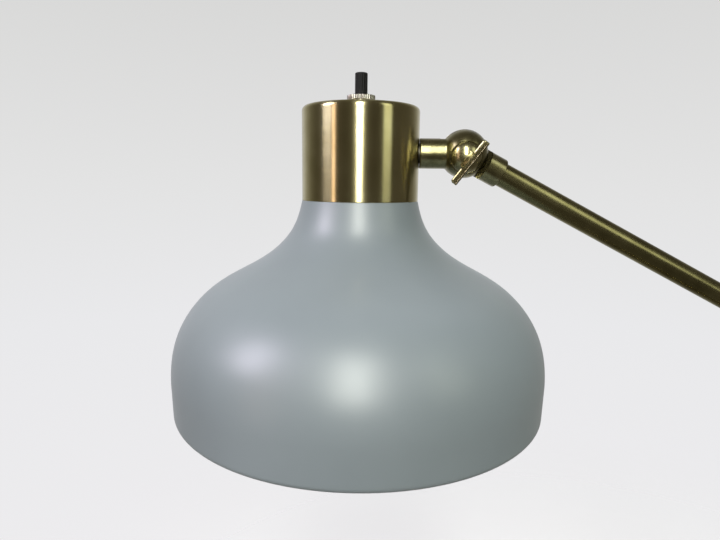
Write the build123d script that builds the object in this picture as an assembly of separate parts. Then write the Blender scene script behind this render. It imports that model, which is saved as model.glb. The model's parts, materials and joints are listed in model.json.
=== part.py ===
from build123d import *
import math
import os

# An architect desk lamp: a weighted round base, two tubes joined by ball knuckles with
# wing screws, and a bell shade under a cylindrical cap with a rotary switch on top.
# Millimetres, +Z up, origin on the desk under the middle of the base. The arms lie in
# the plane y = 0, the head hangs on the -X side and the wing screws face -Y.

os.makedirs("parts", exist_ok=True)

# Stance: where the knuckle centres are, and how the tubes lean.
BASE_PIVOT_HEIGHT = 60.0
LOWER_ARM_SPAN = 330.0
UPPER_ARM_SPAN = 330.0
LOWER_ARM_LEAN = 70.0     # degrees above the desk, towards +X
UPPER_ARM_RISE = 26.6     # degrees above the desk, towards -X
HEAD_CLOCK = 15.7         # degrees the head knuckle is turned about the upper tube

# Clearances.
RUNNING = 0.05            # radial, a shaft in its hole
PASS = 0.15               # radial, a fixed piece through a clearance hole
SEAT = 0.1                # between flat faces of pieces that turn on each other
AIR = 0.3                 # between curved faces of pieces that move past each other

# Ball knuckle.
BALL_RADIUS = 12.0
CUP_GAP = 2.4             # round the ball, in the hollow at the other half's neck
CUP_RADIUS = BALL_RADIUS + CUP_GAP
NECK_RADIUS = 7.5
NECK_FILLET = 1.0
NECK_CHAMFER = 0.6
NECK_REACH = 21.3         # ball centre to the neck's end, where a tube begins
FRICTION_WASHER_RADIUS = 10.5
FRICTION_WASHER_THICKNESS = 0.8
PIVOT_SCREW_RADIUS = 3.0
PIVOT_SCREW_GRIP = 8.5    # how far the wing screw reaches into the rear half

# Wing screw.
HUB_RADIUS = 7.5
HUB_EDGE = 1.0
HUB_DOME_RISE = 4.0
HUB_GROOVE = 0.45         # ring gap round the hub
SPOT_FACE_HEIGHT = 8.3    # flat the hub sits on, from the ball's centre
WING_WIDTH = 24.4
WING_NECK_WIDTH = 8.6
WING_TIP_HEIGHT = 22.4    # from the ball's centre
WING_SIDE_HEIGHT = 18.2   # underside of the wing's bar
WING_THICKNESS = 2.6
WING_CORNER = 0.8
WING_BORDER = 1.0         # raised rim round each flat
WING_RECESS = 0.4
BASE_WING_TURN = 90.0     # degrees from the front half's neck
ELBOW_WING_TURN = 35.0
HEAD_WING_TURN = 54.5

# Tubes and the cable inside them.
TUBE_RADIUS = 6.0
TUBE_WALL = 1.0
SPIGOT_LENGTH = 14.0
CABLE_RADIUS = 2.2

# Hollow threaded nipples, their nuts and washers.
NIPPLE_RADIUS = 4.95
NIPPLE_BORE_RADIUS = 3.2
NIPPLE_GRIP = 5.5         # length screwed into a knuckle
NUT_ACROSS_FLATS = 14.0
NUT_THICKNESS = 3.0
NIPPLE_END = 2.6          # thread that shows past a nut

# Base.
BASE_RADIUS = 95.0
BASE_HEIGHT = 18.5
BASE_EDGE_RADIUS = 5.0
COVER_WALL = 1.2
COVER_LIFT = 0.8          # cover's rim above the desk
PAD_THICKNESS = 2.5
PAD_RADIUS = 92.0
WEIGHT_GAP = 0.5          # round the weight, inside the cover
NUT_POCKET_RADIUS = 13.0
NUT_POCKET_DEPTH = 7.0
BASE_WASHER_RADIUS = 11.0
BASE_WASHER_THICKNESS = 1.5
FOOT_RING_RADIUS = 16.0
FOOT_RING_HEIGHT = 6.0
CABLE_CHANNEL_WIDTH = 13.0
CABLE_CHANNEL_DEPTH = 10.3
GLAND_HEIGHT = 7.6
GLAND_RADIUS = 4.5
GLAND_BORE_RADIUS = 3.2
GLAND_FLANGE_RADIUS = 6.2
GLAND_FLANGE = 2.0
GLAND_INNER_LENGTH = 6.0

# Cap on the head.
CAP_RADIUS = 29.4
CAP_HEIGHT = 46.1
CAP_WALL = 1.2
CAP_EDGE_RADIUS = 2.4
CAP_TOP_ABOVE_STUB = 22.2
STUB_LENGTH = 22.5        # knuckle's centre to the cap's side
HEAD_OFFSET = CAP_RADIUS + STUB_LENGTH
STUB_WASHER_RADIUS = 8.0
STUB_WASHER_THICKNESS = 1.0
CAP_SCREW_RADIUS = 1.5
CAP_SCREW_LENGTH = 4.2
CAP_SCREW_SOCKET_RADIUS = 0.8
CAP_SCREW_HEIGHT = 9.0    # above the cap's lower edge
MOUNT_RING_FLOOR = 2.5
MOUNT_RING_HEIGHT = 13.0
MOUNT_RING_SKIRT = 2.4

# Shade. The flare runs from the neck's radius to the shade's, as shares of both sizes.
SHADE_RADIUS = 95.2
SHADE_HEIGHT = 105.8
SHADE_WALL = 0.8
SHADE_FLARE = ((0.0, 0.0), (0.08, 0.14), (0.313, 0.28), (0.696, 0.42), (0.915, 0.58), (1.0, 0.82))
SHADE_TOP_SLOPE = 12.0    # degrees off the axis, where the flare leaves the neck
FLARE_PULL = 1.1          # how firmly the flare keeps its end directions, 1 for even
RIM_RADIUS = 3.2
RIM_DRAW_IN = 0.5         # rim band's radius below the widest radius
RIM_LIP = 2.0             # turned-in lip

# Lampholder and lamp.
HOLDER_RADIUS = 19.0
HOLDER_RISE = 18.0        # above the cap's lower edge
HOLDER_DROP = 30.0        # below it
HOLDER_SHOULDER_RADIUS = 22.0
HOLDER_SHOULDER = 4.0
HOLDER_ROOF_DROP = 2.0
SHELL_OUTER_RADIUS = 14.1
SHELL_WALL = 0.7
SHADE_RING_RADIUS = 24.5
SHADE_RING_HEIGHT = 7.0
CONTACT_RADIUS = 4.0
CONTACT_THICKNESS = 1.5
LAMP_CAP_RADIUS = 13.2
LAMP_CAP_WALL = 0.5
LAMP_CAP_LENGTH = 26.0
LAMP_TIP_RADIUS = 4.5
LAMP_TIP_HEIGHT = 2.0
GLASS_NECK_RADIUS = 12.3
GLASS_RADIUS = 24.0
GLASS_WALL = 0.9
GLASS_NECK_DROP = 36.0    # below the cap's lower edge
GLASS_BELLY_DROP = 67.0
GLASS_TUCK = 8.0          # glass held inside the lamp's cap

# Rotary switch.
SWITCH_RADIUS = 11.0
SWITCH_HEIGHT = 15.0
BUSHING_RADIUS = 5.0
KNOB_SHAFT_RADIUS = 2.0
KNOB_SHAFT_GRIP = 9.0     # below the cap's top wall
KNOB_RADIUS = 3.15
KNOB_HEIGHT = 10.3
KNOB_RIBS = 16
KNOB_RIB_DEPTH = 0.3
SWITCH_NUT_RADIUS = 7.0
SWITCH_NUT_HEIGHT = 2.4      # notched rim
SWITCH_COLLAR_RADIUS = 6.2   # plain collar of the nut, under its rim
SWITCH_COLLAR_HEIGHT = 3.2
SWITCH_NUT_NOTCHES = 36
SWITCH_NUT_NOTCH = 0.3
LEAD_RADIUS = 1.0
LEAD_SPACING = 10.0
LEAD_TUCK = 3.0

# Worked out from the sizes above.
HALF_FACE = FRICTION_WASHER_THICKNESS / 2 + SEAT
TUBE_INNER_RADIUS = TUBE_RADIUS - TUBE_WALL
UP = Vector(0, 0, 1)
FRONT = Vector(0, -1, 0)


def slope(angle, side):
    """Unit vector in the plane y = 0, rising by angle towards +X (side 1) or -X (side -1)."""
    return Vector(side * math.cos(math.radians(angle)), 0, math.sin(math.radians(angle)))


LOWER_ARM = slope(LOWER_ARM_LEAN, 1)
UPPER_ARM = slope(UPPER_ARM_RISE, -1)
BASE_BALL = Vector(0, 0, BASE_PIVOT_HEIGHT)
ELBOW_BALL = BASE_BALL + LOWER_ARM * LOWER_ARM_SPAN
HEAD_BALL = ELBOW_BALL + UPPER_ARM * UPPER_ARM_SPAN
HEAD_PIVOT = FRONT.rotate(Axis((0, 0, 0), UPPER_ARM * -1), HEAD_CLOCK)
STUB = UP.cross(HEAD_PIVOT).normalized()       # level, from the head's axis to the knuckle
HEAD_CENTRE = HEAD_BALL - STUB * HEAD_OFFSET   # on the head's axis, level with the stub
SEAM = CAP_TOP_ABOVE_STUB - CAP_HEIGHT         # cap's lower edge, in the head's own frame


def place(origin, x_dir, z_dir):
    """Where a piece drawn at the origin goes, with its X and Z turned to these directions."""
    return Plane(origin=origin, x_dir=x_dir, z_dir=z_dir).location


def turned(*edges):
    """Solid of revolution about Z, from the edges of a closed outline in the XZ plane."""
    return revolve(make_face(list(edges)), Axis.Z)


def outline(*points):
    """Straight edges through (radius, height) points, closed."""
    corners = [(radius, 0, height) for radius, height in points]
    return Polyline(*corners, corners[0])


def ring(outer, inner, low, high):
    """Round ring about Z, or a disc where inner is 0."""
    return turned(outline((inner, low), (outer, low), (outer, high), (inner, high)))


def rod(radius, low, high):
    """Round bar about Z."""
    return ring(radius, 0, low, high)


def along_x(shape):
    """The shape with its Z axis laid along +X."""
    return Rot(0, 90, 0) * shape


def slab(low, high):
    """Block wide enough to cut a knuckle, between two heights."""
    width = 6 * CUP_RADIUS
    return Pos(0, 0, (low + high) / 2) * Box(width, width, high - low)


def hexagon_nut(low, high):
    """Hexagon nut for a nipple, about Z."""
    flats = RegularPolygon(NUT_ACROSS_FLATS / 2, 6, major_radius=False)
    block = Pos(0, 0, low) * extrude(flats, high - low)
    block = chamfer(block.edges().filter_by(Plane.XY), 0.4)
    return block - rod(NIPPLE_RADIUS + RUNNING, low - 1, high + 1)


def nipple(low, high):
    """Hollow threaded tube about Z."""
    return ring(NIPPLE_RADIUS, NIPPLE_BORE_RADIUS, low, high)


# ---------------------------------------------------------------- ball knuckle


def knuckle_blank(reach):
    """Ball at the origin with its neck turned along +X, whole."""
    to_ball = BALL_RADIUS / (BALL_RADIUS + NECK_FILLET)
    centre_r = NECK_RADIUS + NECK_FILLET
    centre_h = math.sqrt((BALL_RADIUS + NECK_FILLET) ** 2 - centre_r ** 2)
    on_ball = (centre_r * to_ball, 0, centre_h * to_ball)
    on_neck = (NECK_RADIUS, 0, centre_h)
    swing = math.atan2(centre_h, centre_r) / 2
    middle = (centre_r - NECK_FILLET * math.cos(swing), 0, centre_h - NECK_FILLET * math.sin(swing))
    blank = turned(
        ThreePointArc((0, 0, -BALL_RADIUS), (BALL_RADIUS, 0, 0), on_ball),
        ThreePointArc(on_ball, middle, on_neck),
        Polyline(
            on_neck,
            (NECK_RADIUS, 0, reach - NECK_CHAMFER),
            (NECK_RADIUS - NECK_CHAMFER, 0, reach),
            (0, 0, reach),
            (0, 0, -BALL_RADIUS),
        ),
    )
    return along_x(blank)


def knuckle_half(reach):
    """Half knuckle: its half ball on +Z, its neck along +X with a cup for the other half."""
    cup = Sphere(CUP_RADIUS) & slab(-2 * CUP_RADIUS, HALF_FACE)
    return knuckle_blank(reach) - cup


def front_half(reach):
    """Half that the wing screw's hub presses on."""
    spot_face = rod(HUB_RADIUS + HUB_GROOVE, SPOT_FACE_HEIGHT, BALL_RADIUS + 1)
    screw_hole = rod(PIVOT_SCREW_RADIUS + RUNNING, 0, BALL_RADIUS)
    return knuckle_half(reach) - spot_face - screw_hole


def rear_half(reach):
    """Half that the wing screw is threaded into, drawn with its half ball on +Z."""
    return knuckle_half(reach) - rod(PIVOT_SCREW_RADIUS + RUNNING, 0, PIVOT_SCREW_GRIP + SEAT)


def with_spigot(half):
    """A half knuckle with the hollow spigot that its tube slides over."""
    spigot = rod(TUBE_INNER_RADIUS - RUNNING, NECK_REACH - 1, NECK_REACH + SPIGOT_LENGTH)
    bore = rod(CABLE_RADIUS + AIR, CUP_RADIUS + 1, NECK_REACH + SPIGOT_LENGTH + 1)
    return half + along_x(spigot) - along_x(bore)


def with_nipple_hole(half, reach):
    """A half knuckle with the threaded hole that a nipple is screwed into."""
    hole = rod(NIPPLE_RADIUS + RUNNING, reach - NIPPLE_GRIP - SEAT, reach + 1)
    return half - along_x(hole)


def friction_washer():
    """Fibre washer between the two halves."""
    half = FRICTION_WASHER_THICKNESS / 2
    return ring(FRICTION_WASHER_RADIUS, PIVOT_SCREW_RADIUS + AIR, -half, half)


def wing_outline(inset):
    """Flat of the wing in the XZ plane, a bar on a short neck, narrowed all round by inset."""
    root = SPOT_FACE_HEIGHT + SEAT + HUB_EDGE
    half_tip = WING_WIDTH / 2 - inset
    half_neck = WING_NECK_WIDTH / 2 - inset
    under = WING_SIDE_HEIGHT + inset
    corners = [
        (-half_neck, root + inset),
        (half_neck, root + inset),
        (half_neck, under),
        (half_tip, under),
        (half_tip, WING_TIP_HEIGHT - inset),
        (-half_tip, WING_TIP_HEIGHT - inset),
        (-half_tip, under),
        (-half_neck, under),
    ]
    plate = make_face(Polyline(*corners, corners[0]))
    upper = plate.vertices().group_by(Axis.Y)[1:]
    return fillet([corner for level in upper for corner in level], WING_CORNER)


def wing_screw():
    """Wing screw about Z: threaded shank below, domed hub, flat key-like wing above."""
    low = SPOT_FACE_HEIGHT + SEAT
    edge = low + HUB_EDGE
    top = edge + HUB_DOME_RISE
    dome_radius = (HUB_RADIUS ** 2 + HUB_DOME_RISE ** 2) / (2 * HUB_DOME_RISE)
    swing = math.asin(HUB_RADIUS / dome_radius) / 2
    centre = top - dome_radius
    on_dome = (dome_radius * math.sin(swing), 0, centre + dome_radius * math.cos(swing))
    hub = turned(
        Polyline((0, 0, top), (0, 0, low), (HUB_RADIUS, 0, low), (HUB_RADIUS, 0, edge)),
        ThreePointArc((HUB_RADIUS, 0, edge), on_dome, (0, 0, top)),
    )
    wing = Plane.XZ * extrude(wing_outline(0), WING_THICKNESS / 2, both=True)
    panel = Plane.XZ * extrude(wing_outline(WING_BORDER), WING_RECESS)
    recess_at = WING_THICKNESS / 2
    above_hub = rod(WING_WIDTH, top + WING_BORDER / 2, WING_TIP_HEIGHT)
    near = (Pos(0, -recess_at + WING_RECESS, 0) * panel) & above_hub
    far = (Pos(0, recess_at, 0) * panel) & above_hub
    shank = rod(PIVOT_SCREW_RADIUS, -PIVOT_SCREW_GRIP, low + 1)
    return hub + (wing - near - far) + shank


# ---------------------------------------------------------------- base


def base_cover():
    """Brass cover over the weight, with a rounded edge."""
    inner = BASE_RADIUS - COVER_WALL
    under = BASE_HEIGHT - COVER_WALL
    hole = NIPPLE_RADIUS + PASS
    flat = BASE_RADIUS - BASE_EDGE_RADIUS
    bend = BASE_HEIGHT - BASE_EDGE_RADIUS
    inner_bend = BASE_EDGE_RADIUS - COVER_WALL
    diagonal = math.sqrt(0.5)
    shell = turned(
        Polyline((hole, 0, under), (hole, 0, BASE_HEIGHT), (flat, 0, BASE_HEIGHT)),
        ThreePointArc(
            (flat, 0, BASE_HEIGHT),
            (flat + BASE_EDGE_RADIUS * diagonal, 0, bend + BASE_EDGE_RADIUS * diagonal),
            (BASE_RADIUS, 0, bend),
        ),
        Polyline(
            (BASE_RADIUS, 0, bend),
            (BASE_RADIUS, 0, COVER_LIFT),
            (inner, 0, COVER_LIFT),
            (inner, 0, bend),
        ),
        ThreePointArc(
            (inner, 0, bend),
            (flat + inner_bend * diagonal, 0, bend + inner_bend * diagonal),
            (flat, 0, under),
        ),
        Line((flat, 0, under), (hole, 0, under)),
    )
    gland_hole = along_x(rod(GLAND_RADIUS + PASS, inner - 3, BASE_RADIUS + 3))
    return shell - Pos(0, 0, GLAND_HEIGHT) * gland_hole


def base_weight():
    """Cast-iron weight with a pocket for the nut and a channel for the cord."""
    radius = BASE_RADIUS - COVER_WALL - WEIGHT_GAP
    top = BASE_HEIGHT - COVER_WALL
    slug = turned(outline(
        (NIPPLE_RADIUS + PASS, PAD_THICKNESS),
        (radius, PAD_THICKNESS),
        (radius, top - BASE_EDGE_RADIUS),
        (radius - BASE_EDGE_RADIUS, top),
        (NIPPLE_RADIUS + PASS, top),
    ))
    pocket = rod(NUT_POCKET_RADIUS, PAD_THICKNESS - 1, PAD_THICKNESS + NUT_POCKET_DEPTH)
    channel = Pos(BASE_RADIUS / 2, 0, PAD_THICKNESS + CABLE_CHANNEL_DEPTH / 2) * Box(
        BASE_RADIUS, CABLE_CHANNEL_WIDTH, CABLE_CHANNEL_DEPTH
    )
    outside_nut = channel - rod(NUT_POCKET_RADIUS - 1, 0, BASE_HEIGHT)
    return slug - pocket - outside_nut


def cord_gland():
    """Plastic bushing in the back of the cover, where the cord would enter."""
    face = BASE_RADIUS + SEAT
    body = ring(GLAND_RADIUS, GLAND_BORE_RADIUS, face - GLAND_INNER_LENGTH, face)
    flange = ring(GLAND_FLANGE_RADIUS, GLAND_BORE_RADIUS, face, face + GLAND_FLANGE)
    flange = chamfer(flange.edges().group_by(Axis.Z)[-1], 0.6)
    return Pos(0, 0, GLAND_HEIGHT) * along_x(body + flange)


def foot_ring():
    """Turned brass ring that the riser stands in."""
    top = BASE_HEIGHT + FOOT_RING_HEIGHT
    hole = NIPPLE_RADIUS + PASS
    waist = NECK_RADIUS + 1
    lip = BASE_HEIGHT + 1.5
    sag = (waist + 1.6, 0, BASE_HEIGHT + FOOT_RING_HEIGHT * 0.45)
    return turned(
        Polyline((waist, 0, top), (hole, 0, top), (hole, 0, BASE_HEIGHT),
                 (FOOT_RING_RADIUS, 0, BASE_HEIGHT), (FOOT_RING_RADIUS, 0, lip)),
        ThreePointArc((FOOT_RING_RADIUS, 0, lip), sag, (waist, 0, top)),
    )


def base_nodes():
    """Everything that stands on the desk."""
    riser_foot = BASE_HEIGHT + FOOT_RING_HEIGHT
    reach = BASE_PIVOT_HEIGHT - riser_foot
    riser = with_nipple_hole(front_half(reach), reach)
    pocket_top = PAD_THICKNESS + NUT_POCKET_DEPTH
    nut_top = pocket_top - BASE_WASHER_THICKNESS
    nut_low = nut_top - NUT_THICKNESS
    return {
        "base_pad": rod(PAD_RADIUS, 0, PAD_THICKNESS),
        "base_weight": base_weight(),
        "base_cover": base_cover(),
        "cord_gland": cord_gland(),
        "foot_ring": foot_ring(),
        "riser": place(BASE_BALL, UP * -1, FRONT) * riser,
        "riser_nipple": nipple(nut_low - SEAT, riser_foot + NIPPLE_GRIP),
        "riser_washer": ring(BASE_WASHER_RADIUS, NIPPLE_RADIUS + RUNNING, nut_top, pocket_top),
        "riser_nut": hexagon_nut(nut_low, nut_top),
    }


# ---------------------------------------------------------------- arms


def tube(start, direction, span):
    """Arm tube between the necks of two knuckles."""
    bar = ring(TUBE_RADIUS, TUBE_INNER_RADIUS, NECK_REACH, span - NECK_REACH)
    return place(start, FRONT, direction) * bar


def tube_cable(start, direction, span):
    """Cable inside an arm tube, from one knuckle's bore to the other's."""
    end = CUP_RADIUS + 1.5
    return place(start, FRONT, direction) * rod(CABLE_RADIUS, end, span - end)


def rear_knuckle(centre, neck, pivot):
    """Rear half with its spigot: neck along one direction, pivot towards the wing screw."""
    return place(centre, neck, pivot * -1) * with_spigot(rear_half(NECK_REACH))


def washer_at(centre, neck, pivot):
    """Friction washer in the middle of a knuckle."""
    return place(centre, neck, pivot) * friction_washer()


def wing_at(centre, front_neck, pivot, turn):
    """Wing screw of a knuckle, turned from the front half's neck."""
    return place(centre, front_neck, pivot) * (Rot(0, 0, turn) * wing_screw())


def arm_nodes():
    """Both tubes, their cables, the halves fixed to them, the washers and the wing screws."""
    elbow_front = with_spigot(front_half(NECK_REACH))
    return {
        "base_knuckle": rear_knuckle(BASE_BALL, LOWER_ARM, FRONT),
        "base_friction_washer": washer_at(BASE_BALL, UP, FRONT),
        "lower_tube": tube(BASE_BALL, LOWER_ARM, LOWER_ARM_SPAN),
        "lower_cable": tube_cable(BASE_BALL, LOWER_ARM, LOWER_ARM_SPAN),
        "elbow_rear_knuckle": rear_knuckle(ELBOW_BALL, LOWER_ARM * -1, FRONT),
        "elbow_friction_washer": washer_at(ELBOW_BALL, UP, FRONT),
        "elbow_front_knuckle": place(ELBOW_BALL, UPPER_ARM, FRONT) * elbow_front,
        "upper_tube": tube(ELBOW_BALL, UPPER_ARM, UPPER_ARM_SPAN),
        "upper_cable": tube_cable(ELBOW_BALL, UPPER_ARM, UPPER_ARM_SPAN),
        "head_rear_knuckle": rear_knuckle(HEAD_BALL, UPPER_ARM * -1, HEAD_PIVOT),
        "head_friction_washer": washer_at(HEAD_BALL, STUB, HEAD_PIVOT),
        "base_wing_screw": wing_at(BASE_BALL, UP * -1, FRONT, BASE_WING_TURN),
        "elbow_wing_screw": wing_at(ELBOW_BALL, UPPER_ARM, FRONT, ELBOW_WING_TURN),
        "head_wing_screw": wing_at(HEAD_BALL, STUB * -1, HEAD_PIVOT, HEAD_WING_TURN),
    }


def stub_nodes():
    """The half knuckle that carries the head, and what clamps it to the cap's wall."""
    reach = HEAD_OFFSET - CAP_RADIUS - AIR
    inner_wall = CAP_RADIUS - CAP_WALL
    washer_face = math.sqrt(inner_wall ** 2 - STUB_WASHER_RADIUS ** 2) - AIR
    nut_face = washer_face - STUB_WASHER_THICKNESS
    nut_end = nut_face - NUT_THICKNESS
    grip_end = HEAD_OFFSET - reach + NIPPLE_GRIP
    head = place(HEAD_CENTRE, STUB, UP)
    half = with_nipple_hole(front_half(reach), reach)
    washer = ring(STUB_WASHER_RADIUS, NIPPLE_RADIUS + RUNNING, nut_face, washer_face)
    return {
        "stub_knuckle": place(HEAD_BALL, STUB * -1, HEAD_PIVOT) * half,
        "stub_nipple": head * along_x(nipple(nut_end - NIPPLE_END, grip_end)),
        "stub_washer": head * along_x(washer),
        "stub_nut": head * along_x(hexagon_nut(nut_end, nut_face)),
    }


# ---------------------------------------------------------------- head, in its own frame


def cap():
    """Brass cap: a cup with a rounded top edge, open below."""
    inner = CAP_RADIUS - CAP_WALL
    top = CAP_TOP_ABOVE_STUB
    inner_edge = CAP_EDGE_RADIUS - CAP_WALL
    outside = rod(CAP_RADIUS, SEAM, top)
    outside = fillet(outside.edges().group_by(Axis.Z)[-1], CAP_EDGE_RADIUS)
    inside = rod(inner, SEAM - 1, top - CAP_WALL)
    inside = fillet(inside.edges().group_by(Axis.Z)[-1], inner_edge)
    switch_hole = rod(BUSHING_RADIUS + PASS, top - 3, top + 1)
    stub_hole = along_x(rod(NIPPLE_RADIUS + RUNNING, inner - 3, CAP_RADIUS + 1))
    screw_hole = along_x(rod(CAP_SCREW_RADIUS + PASS, -CAP_RADIUS - 1, -inner + 2))
    screw_hole = Pos(0, 0, SEAM + CAP_SCREW_HEIGHT) * screw_hole
    return outside - inside - switch_hole - stub_hole - screw_hole


def mount_ring():
    """Ring inside the cap's lower end, which the cap's grub screw bites on."""
    radius = CAP_RADIUS - CAP_WALL - AIR
    floor = SEAM + MOUNT_RING_FLOOR
    bore = HOLDER_RADIUS + PASS
    inner = radius - MOUNT_RING_SKIRT
    body = turned(outline(
        (bore, SEAM), (radius, SEAM), (radius, SEAM + MOUNT_RING_HEIGHT),
        (inner, SEAM + MOUNT_RING_HEIGHT), (inner, floor), (bore, floor),
    ))
    thread = along_x(rod(CAP_SCREW_RADIUS + RUNNING, -radius - 1, -inner + 1))
    return body - Pos(0, 0, SEAM + CAP_SCREW_HEIGHT) * thread


def cap_screw():
    """Grub screw through the cap's wall, flush with it."""
    outer = -CAP_RADIUS + 0.2
    socket = rod(CAP_SCREW_SOCKET_RADIUS, outer - 1, outer + 1.4)
    screw = rod(CAP_SCREW_RADIUS, outer, outer + CAP_SCREW_LENGTH) - socket
    return Pos(0, 0, SEAM + CAP_SCREW_HEIGHT) * along_x(screw)


def flare_spline(points, start_angle):
    """Smooth edge through the points, leaving at an angle off -Z and ending on -Z."""
    start = (math.sin(math.radians(start_angle)), 0, -math.cos(math.radians(start_angle)))
    pull = (FLARE_PULL, FLARE_PULL)
    return Spline(*points, tangents=[start, (0, 0, -1)], tangent_scalars=pull)


def shade():
    """Spun bell shade with a flat top flange and a rolled, turned-in rim."""
    spread = SHADE_RADIUS - CAP_RADIUS
    outer_points = [
        (CAP_RADIUS + share * spread, 0, SEAM - drop * SHADE_HEIGHT) for share, drop in SHADE_FLARE
    ]
    outer = flare_spline(outer_points, SHADE_TOP_SLOPE)
    inner_points = []
    for corner in outer_points[1:]:
        tangent = outer.tangent_at(outer.param_at_point(Vector(corner)))
        normal = Vector(tangent.Z, 0, -tangent.X)
        inner_points.append(Vector(corner) + normal * SHADE_WALL)
    inner_top = (CAP_RADIUS - SHADE_WALL, 0, SEAM - SHADE_WALL)
    inner = flare_spline([inner_top] + inner_points, SHADE_TOP_SLOPE)
    band = SHADE_RADIUS - RIM_DRAW_IN
    bottom = SEAM - SHADE_HEIGHT
    bend = bottom + RIM_RADIUS
    turn = band - RIM_RADIUS
    small = RIM_RADIUS - SHADE_WALL
    diagonal = math.sqrt(0.5)
    hole = HOLDER_RADIUS + PASS
    widest = outer_points[-1]
    inner_widest = inner_points[-1]
    return turned(
        Line((hole, 0, SEAM), outer_points[0]),
        outer,
        Line(widest, (band, 0, bend)),
        ThreePointArc((band, 0, bend),
                      (turn + RIM_RADIUS * diagonal, 0, bend - RIM_RADIUS * diagonal),
                      (turn, 0, bottom)),
        Polyline((turn, 0, bottom), (turn - RIM_LIP, 0, bottom),
                 (turn - RIM_LIP, 0, bottom + SHADE_WALL), (turn, 0, bottom + SHADE_WALL)),
        ThreePointArc((turn, 0, bottom + SHADE_WALL),
                      (turn + small * diagonal, 0, bend - small * diagonal),
                      (turn + small, 0, bend)),
        Line((turn + small, 0, bend), inner_widest),
        inner,
        Polyline(inner_top, (hole, 0, SEAM - SHADE_WALL), (hole, 0, SEAM)),
    )


def lampholder():
    """Moulded lampholder: shoulder on the mount ring, screw shell's bore open below."""
    floor = SEAM + MOUNT_RING_FLOOR
    body = rod(HOLDER_RADIUS, SEAM - HOLDER_DROP, SEAM + HOLDER_RISE)
    body = chamfer(body.edges().group_by(Axis.Z)[-1], 2.0)
    shoulder = rod(HOLDER_SHOULDER_RADIUS, floor, floor + HOLDER_SHOULDER)
    roof = SEAM - HOLDER_ROOF_DROP
    bore = rod(SHELL_OUTER_RADIUS + RUNNING, SEAM - HOLDER_DROP - 1, roof)
    return body + shoulder - bore - lead_rods(LEAD_RADIUS + PASS)


def lead_rods(radius):
    """Two upright rods where the switch's leads run down into the lampholder."""
    low = SEAM + HOLDER_RISE - LEAD_TUCK
    high = CAP_TOP_ABOVE_STUB - CAP_WALL - SWITCH_HEIGHT
    lead = rod(radius, low, high)
    return Pos(0, LEAD_SPACING / 2, 0) * lead + Pos(0, -LEAD_SPACING / 2, 0) * lead


def lamp_glass_outline(inset):
    """Half outline edges of the lamp's glass, brought in by inset."""
    neck = GLASS_NECK_RADIUS - inset
    belly = GLASS_RADIUS - inset
    neck_end = SEAM - GLASS_NECK_DROP
    belly_at = SEAM - GLASS_BELLY_DROP
    top = SEAM - HOLDER_ROOF_DROP - CONTACT_THICKNESS - LAMP_CAP_LENGTH + GLASS_TUCK
    diagonal = math.sqrt(0.5)
    return [
        Polyline((0, 0, top - inset), (neck, 0, top - inset), (neck, 0, neck_end)),
        Spline((neck, 0, neck_end), (belly, 0, belly_at), tangents=[(0, 0, -1), (0, 0, -1)]),
        ThreePointArc((belly, 0, belly_at),
                      (belly * diagonal, 0, belly_at - belly * diagonal),
                      (0, 0, belly_at - belly)),
        Line((0, 0, belly_at - belly), (0, 0, top - inset)),
    ]


def lamp_glass():
    """Blown glass of the lamp, hollow."""
    return turned(*lamp_glass_outline(0)) - turned(*lamp_glass_outline(GLASS_WALL))


def lamp_cap():
    """Thin metal screw cap of the lamp, with its contact at the top."""
    tip = SEAM - HOLDER_ROOF_DROP - CONTACT_THICKNESS - SEAT
    collar = tip - LAMP_TIP_HEIGHT
    shoulder = collar - 3.5
    low = tip - LAMP_CAP_LENGTH
    inner = LAMP_CAP_RADIUS - LAMP_CAP_WALL
    return turned(outline(
        (0, tip),
        (LAMP_TIP_RADIUS, tip),
        (LAMP_TIP_RADIUS, collar),
        (LAMP_CAP_RADIUS, shoulder),
        (LAMP_CAP_RADIUS, low),
        (inner, low),
        (inner, shoulder),
        (LAMP_TIP_RADIUS, collar - LAMP_CAP_WALL),
        (0, collar - LAMP_CAP_WALL),
    ))


def switch_nut():
    """Round nut with a notched rim and a plain collar, on the cap's top."""
    low = CAP_TOP_ABOVE_STUB
    rim = low + SWITCH_COLLAR_HEIGHT
    high = rim + SWITCH_NUT_HEIGHT
    bore = BUSHING_RADIUS + RUNNING
    notch = rod(SWITCH_NUT_NOTCH, rim - 1, high + 1)
    notched = ring(SWITCH_NUT_RADIUS, bore, rim, high)
    notched = notched - PolarLocations(SWITCH_NUT_RADIUS, SWITCH_NUT_NOTCHES) * notch
    return notched + ring(SWITCH_COLLAR_RADIUS, bore, low, rim)


def switch_knob(low):
    """Ribbed plastic knob with the shaft that turns the switch."""
    knob = rod(KNOB_RADIUS, low, low + KNOB_HEIGHT)
    knob = fillet(knob.edges().group_by(Axis.Z)[-1], 0.5)
    groove = rod(KNOB_RIB_DEPTH, low + 0.8, low + KNOB_HEIGHT + 1)
    knob = knob - PolarLocations(KNOB_RADIUS, KNOB_RIBS) * groove
    shaft_end = CAP_TOP_ABOVE_STUB - CAP_WALL - KNOB_SHAFT_GRIP
    return knob + rod(KNOB_SHAFT_RADIUS, shaft_end, low + 1)


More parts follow.
